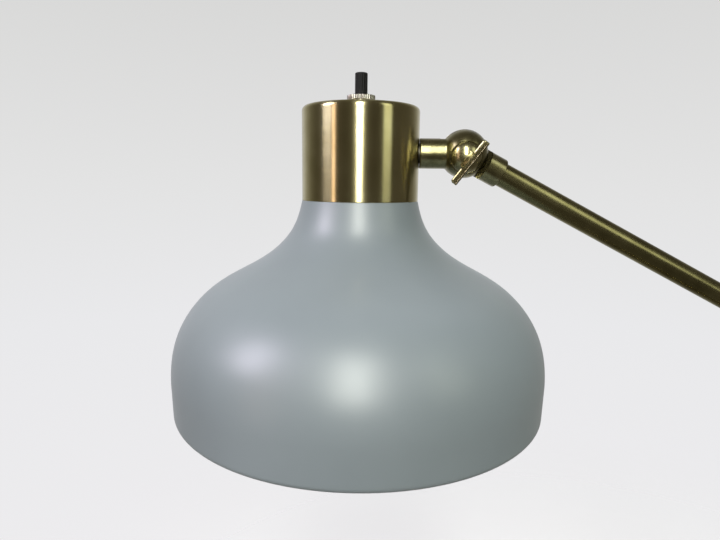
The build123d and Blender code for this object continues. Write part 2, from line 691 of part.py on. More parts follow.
def head_nodes():
    """Cap, shade, lampholder, lamp and switch."""
    under_cap = CAP_TOP_ABOVE_STUB - CAP_WALL
    switch_low = under_cap - SWITCH_HEIGHT
    bushing_top = CAP_TOP_ABOVE_STUB + SWITCH_COLLAR_HEIGHT + SWITCH_NUT_HEIGHT + 0.2
    shaft_hole = KNOB_SHAFT_RADIUS + RUNNING
    shaft_room = rod(shaft_hole, under_cap - KNOB_SHAFT_GRIP - SEAT, under_cap + 1)
    switch_body = rod(SWITCH_RADIUS, switch_low, under_cap)
    switch_body = chamfer(switch_body.edges().group_by(Axis.Z)[0], 1.0)
    flange = SEAM - SHADE_WALL
    roof = SEAM - HOLDER_ROOF_DROP
    nodes = {
        "cap": cap(),
        "cap_screw": cap_screw(),
        "mount_ring": mount_ring(),
        "shade": shade(),
        "shade_ring": ring(SHADE_RING_RADIUS, HOLDER_RADIUS + SEAT, flange - SHADE_RING_HEIGHT, flange),
        "lampholder": lampholder(),
        "screw_shell": ring(SHELL_OUTER_RADIUS, SHELL_OUTER_RADIUS - SHELL_WALL,
                            SEAM - HOLDER_DROP + 1, roof),
        "centre_contact": rod(CONTACT_RADIUS, roof - CONTACT_THICKNESS, roof),
        "lamp_cap": lamp_cap(),
        "lamp_glass": lamp_glass(),
        "switch_body": switch_body - shaft_room,
        "switch_bushing": ring(BUSHING_RADIUS, shaft_hole, under_cap, bushing_top),
        "switch_nut": switch_nut(),
        "switch_leads": lead_rods(LEAD_RADIUS),
        "switch_knob": switch_knob(bushing_top + AIR),
    }
    head = place(HEAD_CENTRE, STUB, UP)
    return {name: head * shape for name, shape in nodes.items()}


def main():
    """Write one STEP file for each node."""
    for group in (base_nodes(), arm_nodes(), stub_nodes(), head_nodes()):
        for name, shape in group.items():
            export_step(shape, f"parts/{name}.step")


main()
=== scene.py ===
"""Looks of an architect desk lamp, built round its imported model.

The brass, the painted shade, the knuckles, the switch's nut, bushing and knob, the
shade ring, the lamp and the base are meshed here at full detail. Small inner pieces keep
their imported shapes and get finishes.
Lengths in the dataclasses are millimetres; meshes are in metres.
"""

from __future__ import annotations

import json
import logging
import math
from dataclasses import dataclass
from enum import Enum
from typing import Callable, Mapping, Optional, Sequence, Union

import bmesh
import bpy
import numpy as np
from mathutils import Matrix, Vector


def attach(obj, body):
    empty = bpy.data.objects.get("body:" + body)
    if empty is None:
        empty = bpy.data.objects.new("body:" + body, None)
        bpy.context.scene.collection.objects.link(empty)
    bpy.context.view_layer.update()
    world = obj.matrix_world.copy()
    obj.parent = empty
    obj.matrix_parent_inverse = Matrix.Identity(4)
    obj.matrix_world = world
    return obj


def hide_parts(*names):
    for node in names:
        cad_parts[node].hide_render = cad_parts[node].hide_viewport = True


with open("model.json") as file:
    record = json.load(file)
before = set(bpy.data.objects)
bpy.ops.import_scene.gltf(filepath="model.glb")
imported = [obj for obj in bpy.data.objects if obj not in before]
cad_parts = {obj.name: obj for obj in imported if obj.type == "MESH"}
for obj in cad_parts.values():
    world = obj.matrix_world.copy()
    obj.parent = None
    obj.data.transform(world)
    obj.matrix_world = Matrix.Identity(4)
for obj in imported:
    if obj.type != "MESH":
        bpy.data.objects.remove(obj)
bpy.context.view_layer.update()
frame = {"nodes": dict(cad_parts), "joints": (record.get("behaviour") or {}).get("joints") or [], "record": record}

LOG = logging.getLogger("desk_lamp")
MM = 0.001
SEGMENTS = 224
SHARP_ANGLE = math.radians(38)
HOLD = 0.25  # mm from a rounded edge to the loop that keeps its flat side flat
WELD = 0.004 * MM  # vertices nearer than this are one
UPRIGHT = 0.9999  # a frame whose Z leans less than this cosine stands upright
POLE = 1e-4  # mm; a ring smaller than this is a point on the axis
OVERRUN = 2.0  # mm that a cutter passes the wall it cuts
BITE = 4.0  # mm that a cutter reaches in from the wall's inside
FIELD_LOW, FIELD_HIGH = 0.3, 0.7  # most of an uneven field lies between these
QUARTER_TURN = 0.25

Point = tuple[float, float]
Setting = Union[float, str, bool, Sequence[float]]
Key = Union[str, int]


class Cut(Enum):
    """How one mesh is combined with another."""

    UNION = "UNION"
    DIFFERENCE = "DIFFERENCE"


class Skin(Enum):
    """Which of a piece's finishes a strip of its mesh wears."""

    OUTSIDE = 0
    INSIDE = 1


# ------------------------------------------------------------------ colour and nodes


def linear(code: str) -> tuple[float, float, float, float]:
    """Turn an sRGB hex colour to the linear values that shaders take.

    Args:
        code: Six hex digits, such as "8F7A4A".

    Returns:
        Linear red, green and blue, and a full alpha.
    """
    parts = [int(code[at:at + 2], 16) / 255 for at in (0, 2, 4)]
    red, green, blue = (
        part / 12.92 if part <= 0.04045 else ((part + 0.055) / 1.055) ** 2.4 for part in parts
    )
    return red, green, blue, 1.0


def add_node(
    tree: bpy.types.NodeTree,
    kind: str,
    settings: Optional[Mapping[Key, Setting]] = None,
    links: Optional[Mapping[Key, bpy.types.NodeSocket]] = None,
) -> bpy.types.Node:
    """Add a node with its settings and links.

    Args:
        tree: Node tree that gets the node.
        kind: Node type, such as "ShaderNodeBsdfPrincipled".
        settings: Input values by socket name or number, or attributes by name.
        links: Sockets to link from, by input name or number.

    Returns:
        The new node.
    """
    node = tree.nodes.new(kind)
    for key, value in (settings or {}).items():
        if isinstance(key, int) or key in node.inputs:
            node.inputs[key].default_value = value
        else:
            setattr(node, key, value)
    for key, socket in (links or {}).items():
        tree.links.new(socket, node.inputs[key])
    return node


def empty_tree(owner: Union[bpy.types.Material, bpy.types.World]) -> bpy.types.NodeTree:
    """Node tree of a material or world, switched on and emptied."""
    owner.use_nodes = True
    owner.node_tree.nodes.clear()
    return owner.node_tree


def set_stops(ramp: bpy.types.Node, stops: Sequence[tuple[float, str]]) -> None:
    """Give a colour ramp its (place, sRGB hex) stops."""
    elements = ramp.color_ramp.elements
    while len(elements) < len(stops):
        elements.new(0.5)
    for element, (place, code) in zip(elements, stops):
        element.position = place
        element.color = linear(code)


def per_metre(size_mm: float) -> float:
    """Pattern scale whose features are about this many millimetres across."""
    return 1.0 / (size_mm * MM)


@dataclass(frozen=True)
class Grain:
    """An uneven field over a surface: the size of its features and how they stretch."""

    size_mm: float
    stretch: tuple[float, float, float] = (1.0, 1.0, 1.0)
    detail: float = 3.0
    roughness: float = 0.5

    def lay(self, tree: bpy.types.NodeTree) -> bpy.types.NodeSocket:
        """Lay the field over the piece in its own coordinates, small factors drawn out long.

        Args:
            tree: Node tree of the material.

        Returns:
            The field, from 0 to 1.
        """
        place = add_node(tree, "ShaderNodeTexCoord")
        drawn = add_node(
            tree, "ShaderNodeMapping", {"Scale": self.stretch}, {"Vector": place.outputs["Object"]}
        )
        field = add_node(
            tree,
            "ShaderNodeTexNoise",
            {"Scale": per_metre(self.size_mm), "Detail": self.detail, "Roughness": self.roughness},
            {"Vector": drawn.outputs["Vector"]},
        )
        return field.outputs["Fac"]


@dataclass(frozen=True)
class Finish:
    """A finish: what a piece is made of and how its surface was made.

    Its colour lies in soft patches, from a low stop to a high one with an optional one
    between; its roughness wanders between the two gloss values; its tooth is a fine relief.
    """

    name: str
    low: str
    high: str
    gloss: tuple[float, float]
    middle: str = ""
    places: tuple[float, float] = (0.3, 0.7)
    patches: Grain = Grain(9.0, detail=4.0)
    wander: Optional[Grain] = None
    tooth: Optional[Grain] = None
    depth_mm: float = 0.0
    strength: float = 0.3

    def values(self) -> dict[str, Setting]:
        """Shader values that are the same all over the surface."""
        return {}

    def build(self, tree: bpy.types.NodeTree, shader: bpy.types.Node) -> None:
        """Set the shader and link what varies over the surface.

        Args:
            tree: The material's node tree.
            shader: Its Principled shader.
        """
        stops = [(self.places[0], self.low), (self.places[1], self.high)]
        if self.middle:
            stops.insert(1, (0.5, self.middle))
        ramp = add_node(tree, "ShaderNodeValToRGB", links={"Fac": self.patches.lay(tree)})
        set_stops(ramp, stops)
        tree.links.new(ramp.outputs["Color"], shader.inputs["Base Color"])
        dull, bright = self.gloss
        between = {"From Min": FIELD_LOW, "From Max": FIELD_HIGH, "To Min": dull, "To Max": bright}
        field = (self.wander or self.patches).lay(tree)
        wander = add_node(tree, "ShaderNodeMapRange", between, {"Value": field})
        tree.links.new(wander.outputs["Result"], shader.inputs["Roughness"])
        if self.tooth:
            relief = {"Strength": self.strength, "Distance": self.depth_mm * MM}
            bump = add_node(tree, "ShaderNodeBump", relief, {"Height": self.tooth.lay(tree)})
            tree.links.new(bump.outputs["Normal"], shader.inputs["Normal"])
        for key, value in self.values().items():
            shader.inputs[key].default_value = value

    def material(self) -> bpy.types.Material:
        """The finish as a material, made once."""
        made = bpy.data.materials.get(self.name)
        if made is not None:
            return made
        made = bpy.data.materials.new(self.name)
        tree = empty_tree(made)
        shader = add_node(tree, "ShaderNodeBsdfPrincipled")
        add_node(tree, "ShaderNodeOutputMaterial", links={"Surface": shader.outputs["BSDF"]})
        self.build(tree, shader)
        return made


LINES = Grain(0.25, (0.01, 0.01, 1.0), 1.0)  # brush lines; real ones are near 0.05 mm
TURNING = Grain(0.3)
DRAWN = Grain(0.5, (1.0, 1.0, 0.004), 1.0)
SAND = Grain(0.9, detail=5.0, roughness=0.65)


@dataclass(frozen=True)
class BrushedBrass(Finish):
    """Antique brass tube or cup, brushed round its axis and lacquered.

    The brush leaves fine rings round the axis, so reflections smear along the axis into
    upright streaks, and age leaves the metal olive brown in soft patches.
    """

    name: str = "brass_brushed_round_axis"
    low: str = "B0A67A"
    middle: str = "B9AF85"
    high: str = "C1B890"
    gloss: tuple[float, float] = (0.21, 0.26)
    places: tuple[float, float] = (0.3, 0.72)
    patches: Grain = Grain(14.0, detail=4.0, roughness=0.6)
    wander: Grain = LINES
    tooth: Grain = LINES
    depth_mm: float = 0.004
    strength: float = 0.1
    anisotropy: float = 0.9

    def values(self) -> dict[str, Setting]:
        """Metal whose highlights stretch across the brush lines."""
        return {
            "Metallic": 1.0,
            "Anisotropic": self.anisotropy,
            "Anisotropic Rotation": QUARTER_TURN,
        }

    def build(self, tree: bpy.types.NodeTree, shader: bpy.types.Node) -> None:
        """Add the direction of the brush; see Finish.build."""
        super().build(tree, shader)
        turn = add_node(tree, "ShaderNodeTangent", {"direction_type": "RADIAL", "axis": "Z"})
        tree.links.new(turn.outputs["Tangent"], shader.inputs["Tangent"])


@dataclass(frozen=True)
class TurnedBrass(Finish):
    """Antique brass casting, turned and lacquered: satin, with a faint grain."""

    name: str = "brass_turned_lacquered"
    low: str = "78714E"
    middle: str = "8C855F"
    high: str = "A29B75"
    gloss: tuple[float, float] = (0.24, 0.32)
    places: tuple[float, float] = (0.3, 0.75)
    patches: Grain = Grain(6.0, detail=5.0, roughness=0.6)
    wander: Grain = TURNING
    tooth: Grain = TURNING
    depth_mm: float = 0.003
    strength: float = 0.2

    def values(self) -> dict[str, Setting]:
        """Metal under a coat of lacquer."""
        return {"Metallic": 1.0, "Coat Weight": 0.5, "Coat Roughness": 0.16}


@dataclass(frozen=True)
class SprayedPaint(Finish):
    """Enamel sprayed on spun metal: satin, with a fine orange peel."""

    name: str = "enamel_grey_sprayed"
    low: str = "788187"
    middle: str = "7B848A"
    high: str = "7E878D"
    gloss: tuple[float, float] = (0.38, 0.43)
    patches: Grain = Grain(60.0)
    wander: Grain = Grain(20.0, (1.0, 1.0, 0.3), 4.0)
    tooth: Grain = Grain(1.1, detail=2.0)
    depth_mm: float = 0.02
    strength: float = 0.12

    def values(self) -> dict[str, Setting]:
        """Hard enamel with a soft gloss."""
        return {"Specular IOR Level": 0.7, "Coat Weight": 0.45, "Coat Roughness": 0.4}


@dataclass(frozen=True)
class MouldedPlastic(Finish):
    """Moulded thermoplastic or phenolic: a fine spark-eroded grain under a soft sheen."""

    gloss: tuple[float, float] = (0.4, 0.52)
    places: tuple[float, float] = (0.35, 0.8)
    tooth: Grain = Grain(0.35)
    depth_mm: float = 0.015
    shine: float = 0.5

    def values(self) -> dict[str, Setting]:
        """How strongly the plastic mirrors."""
        return {"Specular IOR Level": self.shine}


@dataclass(frozen=True)
class PlatedMetal(Finish):
    """Plated or bare machined metal: bright, with fine lines and a little dulling."""

    places: tuple[float, float] = (0.3, 0.65)
    patches: Grain = Grain(4.5, detail=4.0, roughness=0.6)
    tooth: Grain = Grain(0.25, detail=2.0)
    depth_mm: float = 0.006

    def values(self) -> dict[str, Setting]:
        """Bare metal."""
        return {"Metallic": 1.0}


@dataclass(frozen=True)
class CastIron(Finish):
    """Sand-cast iron left rough under a thin black wash."""

    name: str = "iron_sand_cast"
    low: str = "3A3B3D"
    high: str = "4B3A30"
    gloss: tuple[float, float] = (0.6, 0.85)
    places: tuple[float, float] = (0.45, 0.75)
    patches: Grain = Grain(16.0, detail=4.0)
    wander: Grain = SAND
    tooth: Grain = SAND
    depth_mm: float = 0.25
    strength: float = 0.8

    def values(self) -> dict[str, Setting]:
        """Metal half hidden by its wash."""
        return {"Metallic": 0.6}


@dataclass(frozen=True)
class SheetRubber(Finish):
    """Rubber sheet: matte, with a fine pitted skin and dust in it."""

    name: str = "rubber_pad_sheet"
    low: str = "1E1F20"
    high: str = "35363A"
    gloss: tuple[float, float] = (0.8, 0.9)
    places: tuple[float, float] = (0.4, 0.75)
    patches: Grain = Grain(16.0, detail=4.0)
    tooth: Grain = Grain(0.6, detail=4.0, roughness=0.7)
    depth_mm: float = 0.15
    strength: float = 0.6


@dataclass(frozen=True)
class FrostedGlass(Finish):
    """Lamp glass frosted inside: milky, with a smooth outer skin."""

    name: str = "glass_frosted_inside"
    low: str = "E6E3DA"
    high: str = "F3F1EA"
    gloss: tuple[float, float] = (0.1, 0.2)
    patches: Grain = Grain(3.0, detail=4.0)

    def values(self) -> dict[str, Setting]:
        """Glass that lets light wander in it."""
        return {"IOR": 1.5, "Subsurface Weight": 0.3, "Subsurface Radius": (0.004,) * 3}


# Cup on the head: dark olive brass under lacquer, with upright streaks of light.
BRUSHED = BrushedBrass()
# Arm tubes: drawn, so their lines and a soft line of light run along them.
TUBE_BRASS = BrushedBrass(
    name="brass_tube_drawn", low="7B7451", middle="8C855F", high="9B946D",
    gloss=(0.26, 0.29), anisotropy=0.2, wander=DRAWN, tooth=DRAWN, depth_mm=0.002,
)
# Base cover: spun, so light turns in rays round its middle.
BASE_BRASS = BrushedBrass(
    name="brass_base_spun", low="A2976D", middle="A79C72", high="AFA47B",
    gloss=(0.26, 0.32), anisotropy=0.6, patches=Grain(40.0, detail=3.0),
)
# Knuckles: darker and smoother than the cup, small and round enough to look glossy.
TURNED = TurnedBrass()
# Wing screws: paler and a little glossier than the knuckles.
POLISHED = TurnedBrass(
    name="brass_wing_polished", low="8E8660", middle="A59D74", high="B8B08A",
    gloss=(0.22, 0.3),
)
# Shade outside: cool mid grey, satin, with broad soft highlights.
GREY_PAINT = SprayedPaint()
# Shade inside: white, to throw the light down.
WHITE_PAINT = SprayedPaint(
    name="enamel_white_inside", low="E2E1DB", middle="E9E8E3", high="EEEDE9",
    gloss=(0.4, 0.46),
)
# Switch knob: near black, dull.
KNOB_PLASTIC = MouldedPlastic("abs_black_knob", "0B0B0C", "141415", shine=0.2)
# Switch case and cord bushing: black with a dry moulded skin.
BLACK_PLASTIC = MouldedPlastic("nylon_black_moulded", "121213", "232325", (0.45, 0.58))
# Lampholder and its ring: off-white, a little shiny.
HOLDER_PLASTIC = MouldedPlastic("phenolic_white_holder", "DDDAD0", "C9C5B8", (0.32, 0.44))
# Cable in the arms: pale grey sheath, dull.
CABLE_PLASTIC = MouldedPlastic("pvc_cable_sheath", "BDBCB8", "A6A5A0", (0.45, 0.55), tooth=Grain(0.6))
# Switch leads: black insulation.
LEAD_PLASTIC = MouldedPlastic("pvc_lead_black", "17171A", "2B2B2F", tooth=Grain(0.6))
# Washers: red-brown fibre, matte and faintly hairy.
FIBRE = MouldedPlastic(
    "vulcanised_fibre_red", "5A2A1C", "6E3A29", (0.7, 0.8), tooth=Grain(0.5), depth_mm=0.05
)
# Switch nut and bushing: warm nickel in soft patches.
NICKEL = PlatedMetal("nickel_plate_satin", "98938A", "B9B5AC", (0.36, 0.26))
# Nipples and their nuts: dull steel whose dark colour is painted shade for the gap between the stub and the cap.
NIPPLE_STEEL_PAINTED_SHADE = PlatedMetal("steel_nipple_painted_shade", "45423B", "5F5B51", (0.55, 0.42))
# Grub screw: blackened, nearly lost in its hole.
BLACK_STEEL = PlatedMetal("steel_black_oxide", "1B1916", "2B2723", (0.48, 0.36))
# Ring under the cap and the lamp's cap: bare turned aluminium.
ALUMINIUM = PlatedMetal("aluminium_turned", "A5A6A8", "C6C7C8", (0.38, 0.26))
# Contacts in the holder: yellow stamped brass.
CONTACT_BRASS = PlatedMetal("brass_contact_stamped", "A88C45", "D2B45F", (0.32, 0.2))
# Weight in the base: black, with a sandy skin.
IRON = CastIron()
# Pad under the base: black and matte.
PAD_RUBBER = SheetRubber()
# Lamp: milky white, smooth outside.
GLASS = FrostedGlass()


# ------------------------------------------------------------------ outlines and meshes


@dataclass(frozen=True)
class Corner:
    """A corner of a turned outline: radius and height in mm, and how it is rounded."""

    radius: float
    height: float
    rounding: float = 0.0


def arc(centre: Point, radius: float, start: float, end: float, steps: int = 24) -> list[Point]:
    """Points along an arc in the radius and height plane, angles in degrees from +radius."""
    angles = [math.radians(start + (end - start) * step / steps) for step in range(steps + 1)]
    return [(centre[0] + radius * math.cos(a), centre[1] + radius * math.sin(a)) for a in angles]


def rounded(corners: Sequence[Corner], closed: bool = False, steps: int = 6) -> list[Point]:
    """Outline with its corners rounded, and loops that hold its flats beside them.

    Args:
        corners: The outline's corners in order.
        closed: Whether the last corner joins the first.
        steps: Spans in each rounded corner.

    Returns:
        Points of the outline.
    """
    points: list[Point] = []
    count = len(corners)
    for at, corner in enumerate(corners):
        here = Vector((corner.radius, corner.height))
        ends = not closed and at in (0, count - 1)
        if corner.rounding <= 0 or ends:
            points.append(tuple(here))
            continue
        before, after = corners[at - 1], corners[(at + 1) % count]
        back = Vector((before.radius, before.height)) - here
        ahead = Vector((after.radius, after.height)) - here
        u, v = back.normalized(), ahead.normalized()
        half = u.angle(v) / 2
        reach = corner.rounding / math.tan(half)
        centre = here + (u + v).normalized() * (corner.rounding / math.sin(half))
        start, end = here + u * reach - centre, here + v * reach - centre
        turn = start.angle(end)
        first = here + u * (reach + HOLD)
        last = here + v * (reach + HOLD)
        if back.length > 2 * (reach + HOLD):
            points.append(tuple(first))
        for step in range(steps + 1):
            share = step / steps
            a = math.sin((1 - share) * turn) / math.sin(turn)
            b = math.sin(share * turn) / math.sin(turn)
            points.append(tuple(centre + start * a + end * b))
        if ahead.length > 2 * (reach + HOLD):
            points.append(tuple(last))
    return points


def write_smooth(mesh: bmesh.types.BMesh, data: bpy.types.Mesh) -> None:
    """Write a bmesh to mesh data, smooth but sharp where it folds, and free it."""
    mesh.to_mesh(data)
    mesh.free()
    data.shade_smooth()
    data.set_sharp_from_angle(angle=SHARP_ANGLE)


def keep_mesh(name: str, mesh: bmesh.types.BMesh) -> bpy.types.Object:
    """Turn a finished bmesh into an object of the scene."""
    bmesh.ops.recalc_face_normals(mesh, faces=mesh.faces)
    data = bpy.data.meshes.new(name)
    write_smooth(mesh, data)
    piece = bpy.data.objects.new(name, data)
    bpy.context.scene.collection.objects.link(piece)
    return piece


def bridge(
    mesh: bmesh.types.BMesh,
    low: Sequence[bmesh.types.BMVert],
    high: Sequence[bmesh.types.BMVert],
    skin: int,
) -> None:
    """Join two rings of vertices with faces; a ring of one vertex is a pole."""
    count = max(len(low), len(high))
    if count == 1:
        return
    for step in range(count):
        after = (step + 1) % count
        if len(low) == 1:
            corners = [low[0], high[after], high[step]]
        elif len(high) == 1:
            corners = [low[step], low[after], high[0]]
        else:
            corners = [low[step], low[after], high[after], high[step]]
        mesh.faces.new(corners).material_index = skin


def turned(
    name: str,
    outline: Sequence[Point],
    closed: bool = False,
    swell: Optional[Callable[[float, float, float], float]] = None,
    skins: Optional[Sequence[int]] = None,
    segments: int = SEGMENTS,
) -> bpy.types.Object:
    """Turn an outline about Z into a mesh.

    Args:
        name: Piece's name.
        outline: (radius, height) points in mm; a radius of 0 makes a pole.
        closed: Whether the last point joins the first.
        swell: Added radius in mm for an angle, radius and height.
        skins: Finish number of each strip between points.
        segments: Divisions round the axis.

    Returns:
        The piece.
    """
    mesh = bmesh.new()
    rings = []
    for radius, height in outline:
        if radius < POLE:
            rings.append([mesh.verts.new((0, 0, height * MM))])
            continue
        ring = []
        for step in range(segments):
            angle = math.tau * step / segments
            grown = (radius + (swell(angle, radius, height) if swell else 0.0)) * MM
            ring.append(
                mesh.verts.new((grown * math.cos(angle), grown * math.sin(angle), height * MM))
            )
        rings.append(ring)
    pairs = list(zip(rings, rings[1:]))
    if closed:
        pairs.append((rings[-1], rings[0]))
    for at, (low, high) in enumerate(pairs):
        bridge(mesh, low, high, skins[at] if skins else 0)
    return keep_mesh(name, mesh)


def combine(
    piece: bpy.types.Object, tools: Sequence[bpy.types.Object], how: Cut
) -> bpy.types.Object:
    """Combine a mesh with others by an exact boolean, and delete the others.

    Args:
        piece: Mesh that is changed.
        tools: Meshes it is combined with.
        how: Union or difference.

    Returns:
        The piece.
    """
    for tool in tools:
        cut = piece.modifiers.new("cut", "BOOLEAN")
        cut.solver = "EXACT"
        cut.operation = how.value
        cut.object = tool
    bpy.context.view_layer.update()
    graph = bpy.context.evaluated_depsgraph_get()
    result = bpy.data.meshes.new_from_object(piece.evaluated_get(graph))
    piece.modifiers.clear()
    old = piece.data
    piece.data = result
    bpy.data.meshes.remove(old)
    for tool in tools:
        data = tool.data
        bpy.data.objects.remove(tool)
        bpy.data.meshes.remove(data)
    mesh = bmesh.new()
    mesh.from_mesh(result)
    bmesh.ops.remove_doubles(mesh, verts=mesh.verts, dist=WELD)
    bmesh.ops.dissolve_degenerate(mesh, edges=mesh.edges, dist=WELD)
    write_smooth(mesh, result)
    return piece


def axes(origin: Vector, x_dir: Vector, z_dir: Vector) -> Matrix:
    """Matrix that puts a piece drawn at the origin at a place, with its X and Z so turned."""
    z = z_dir.normalized()
    x = (x_dir - z * x_dir.dot(z)).normalized()
    y = z.cross(x)
    spin = Matrix((x, y, z)).transposed().to_4x4()
    return Matrix.Translation(origin) @ spin


def lay_along_x(piece: bpy.types.Object, height: float = 0.0) -> bpy.types.Object:
    """Turn a piece's mesh so that its Z runs along +X, and lift it by a height in mm."""
    lift = Matrix.Translation((0, 0, height * MM))
    piece.data.transform(lift @ Matrix.Rotation(math.pi / 2, 4, "Y"))
    return piece


def drill(
    name: str, radius: float, start: float, end: float, height: float = 0.0, segments: int = 64
) -> bpy.types.Object:
    """Rod along X that cuts a hole.

    Args:
        name: The rod's name.
        radius: Its radius in mm.
        start: Where it starts along X.
        end: Where it ends along X.
        height: Its height in mm.
        segments: Its sides.

    Returns:
        The rod.
    """
    outline = [(0.0, start), (radius, start), (radius, end), (0.0, end)]
    return lay_along_x(turned(name, outline, segments=segments), height)


def fit(
    piece: bpy.types.Object, place: Matrix, body: str, slot: str, node: str, *finishes: Finish
) -> None:
    """Put a piece in place, finish it and make it ride on its body.

    Args:
        piece: The piece, drawn at the origin.
        place: Where it goes.
        body: Body that it rides on.
        slot: Material slot of the record; not used.
        node: CAD node that it stands for.
        finishes: Its finishes, in the order of its skins.
    """
    turn = place.to_3x3().to_4x4()
    if turn[2][2] > UPRIGHT:
        piece.data.transform(turn)
        place = Matrix.Translation(place.to_translation())
    piece.matrix_world = place
    skins = [face.material_index for face in piece.data.polygons]
    piece.data.materials.clear()
    for finish in finishes:
        piece.data.materials.append(finish.material())
    piece.data.polygons.foreach_set("material_index", skins)
    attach(piece, body)
    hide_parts(node)
    LOG.info("made %s on %s, %d faces", piece.name, body, len(piece.data.polygons))


# ------------------------------------------------------------------ the lamp's layout


class Layout:
    """Knuckle centres and directions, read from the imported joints."""

    def __init__(self) -> None:
        """Read the joints of the frame."""
        joints = {joint["name"]: joint for joint in frame["joints"]}
        self.base = Vector(joints["lower_tilt"]["pos_m"])
        self.elbow = Vector(joints["elbow_tilt"]["pos_m"])
        self.head = Vector(joints["head_tilt"]["pos_m"])
        self.centre = Vector(joints["head_roll"]["pos_m"])
        self.front = Vector(joints["lower_tilt"]["axis"]).normalized()
        self.pivot = Vector(joints["head_tilt"]["axis"]).normalized()
        self.stub = Vector(joints["head_roll"]["axis"]).normalized()
        self.up = Vector((0.0, 0.0, 1.0))
        self.lower = (self.elbow - self.base).normalized()
        self.upper = (self.head - self.elbow).normalized()

    def head_frame(self) -> Matrix:
        """Frame of the head: on its axis, level with the stub, X towards the knuckle."""
        return axes(self.centre, self.stub, self.up)


# ------------------------------------------------------------------ head


@dataclass
class Cap:
    """Brass cup on the head, with its switch nut, bushing and knob on top."""

    radius: float = 29.4
    height: float = 46.1
    top: float = 22.2
    wall: float = 1.2
    edge: float = 2.4
    rim_round: float = 0.25
    switch_hole: float = 5.15
    stub_hole: float = 5.0
    screw_hole: float = 1.65
    screw_height: float = 9.0
    nut_radius: float = 7.0
    nut_height: float = 2.4
    collar_radius: float = 6.2
    collar_height: float = 3.2
    nut_hole: float = 5.05
    nut_notches: int = 36
    nut_notch: float = 0.3
    bushing_top: float = 0.2
    bushing_radius: float = 5.0
    bushing_pitch: float = 0.75
    bushing_thread: float = 0.22
    shaft_hole: float = 2.05
    shaft_depth: float = 9.0
    shaft_gap: float = 0.05
    knob_radius: float = 3.15
    knob_height: float = 10.3
    knob_gap: float = 0.3
    knob_ribs: int = 14
    knob_rib_depth: float = 0.28

    @property
    def seam(self) -> float:
        """Height of the cap's lower edge in the head's frame."""
        return self.top - self.height

    def shell(self) -> bpy.types.Object:
        """Cup with its switch, stub and screw holes."""
        inner = self.radius - self.wall
        outline = rounded(
            [
                Corner(self.switch_hole, self.top, 0.15),
                Corner(self.radius, self.top, self.edge),
                Corner(self.radius, self.seam, self.rim_round),
                Corner(inner, self.seam, self.rim_round),
                Corner(inner, self.top - self.wall, self.edge - self.wall),
                Corner(self.switch_hole, self.top - self.wall, 0.15),
            ],
            closed=True,
            steps=8,
        )
        shell = turned("cap_brass", outline, closed=True, segments=360)
        near, far = inner - BITE, self.radius + OVERRUN
        tools = [
            drill("stub_tool", self.stub_hole, near, far),
            drill("screw_tool", self.screw_hole, -far, -near, self.seam + self.screw_height, 32),
        ]
        return combine(shell, tools, Cut.DIFFERENCE)

    @property
    def nut_top(self) -> float:
        """Height of the nut's top in the head's frame."""
        return self.top + self.collar_height + self.nut_height

    def nut(self) -> bpy.types.Object:
        """Round nut with a notched rim on a plain collar."""
        low, rim, high = self.top, self.top + self.collar_height, self.nut_top

        def notch(angle: float, radius: float, height: float) -> float:
            """Depth of the notches at the nut's edge."""
            if radius < self.nut_radius - 0.7:
                return 0.0
            wave = math.cos(self.nut_notches * angle)
            return -self.nut_notch * (0.5 - 0.5 * wave)

        outline = rounded(
            [
                Corner(self.nut_hole, low, 0.1),
                Corner(self.collar_radius, low, 0.15),
                Corner(self.collar_radius, rim, 0.1),
                Corner(self.nut_radius, rim, 0.25),
                Corner(self.nut_radius, high, 0.35),
                Corner(self.nut_hole + 0.6, high, 0.1),
                Corner(self.nut_hole, high - 0.5, 0.1),
            ],
            closed=True,
        )
        return turned("switch_nut_notched", outline, closed=True, swell=notch, segments=432)

    def bushing(self) -> bpy.types.Object:
        """Threaded bushing that stands in the nut."""
        high = self.nut_top + self.bushing_top
        low = self.top - self.wall
        outline = [(self.shaft_hole, low), (self.bushing_radius, low)]
        root = self.bushing_radius - self.bushing_thread
        for turn in range(int((high - low - 0.6) / self.bushing_pitch)):
            at = low + 0.2 + turn * self.bushing_pitch
            outline += [(self.bushing_radius, at), (root, at + self.bushing_pitch / 2)]
        outline += rounded(
            [
                Corner(self.bushing_radius, high - 0.4, 0),
                Corner(self.bushing_radius - 0.4, high, 0.1),
                Corner(self.shaft_hole, high, 0.1),
                Corner(self.shaft_hole, low, 0),
            ]
        )[:-1]
        return turned("switch_bushing_threaded", outline, closed=True, segments=96)

    def knob(self) -> bpy.types.Object:
        """Slim ribbed knob and its shaft."""
        low = self.nut_top + self.bushing_top + self.knob_gap
        high = low + self.knob_height
        shaft, foot = self.shaft_hole - self.shaft_gap, self.top - self.shaft_depth

        def ribs(angle: float, radius: float, height: float) -> float:
            """Flutes that run down the knob's side, fading out near its ends."""
            if radius < self.knob_radius - 0.5:
                return 0.0
            fade = min(1.0, max(0.0, (height - low - 0.5) / 0.8))
            flute = abs(math.sin(self.knob_ribs * angle / 2)) ** 0.6
            return -self.knob_rib_depth * (1 - flute) * fade

        outline = rounded(
            [
                Corner(0.0, high),
                Corner(self.knob_radius, high, 0.55),
                Corner(self.knob_radius, low, 0.3),
                Corner(shaft, low, 0.1),
                Corner(shaft, foot, 0.1),
                Corner(0.0, foot),
            ]
        )
        side = [(self.knob_radius, low + 0.4 + self.knob_height * 0.09 * step) for step in range(1, 10)]
        first = next(i for i, p in enumerate(outline) if p[1] < high - 0.9)
        outline = outline[:first] + side[::-1] + outline[first:]
        return turned("switch_knob_ribbed", outline, swell=ribs, segments=336)

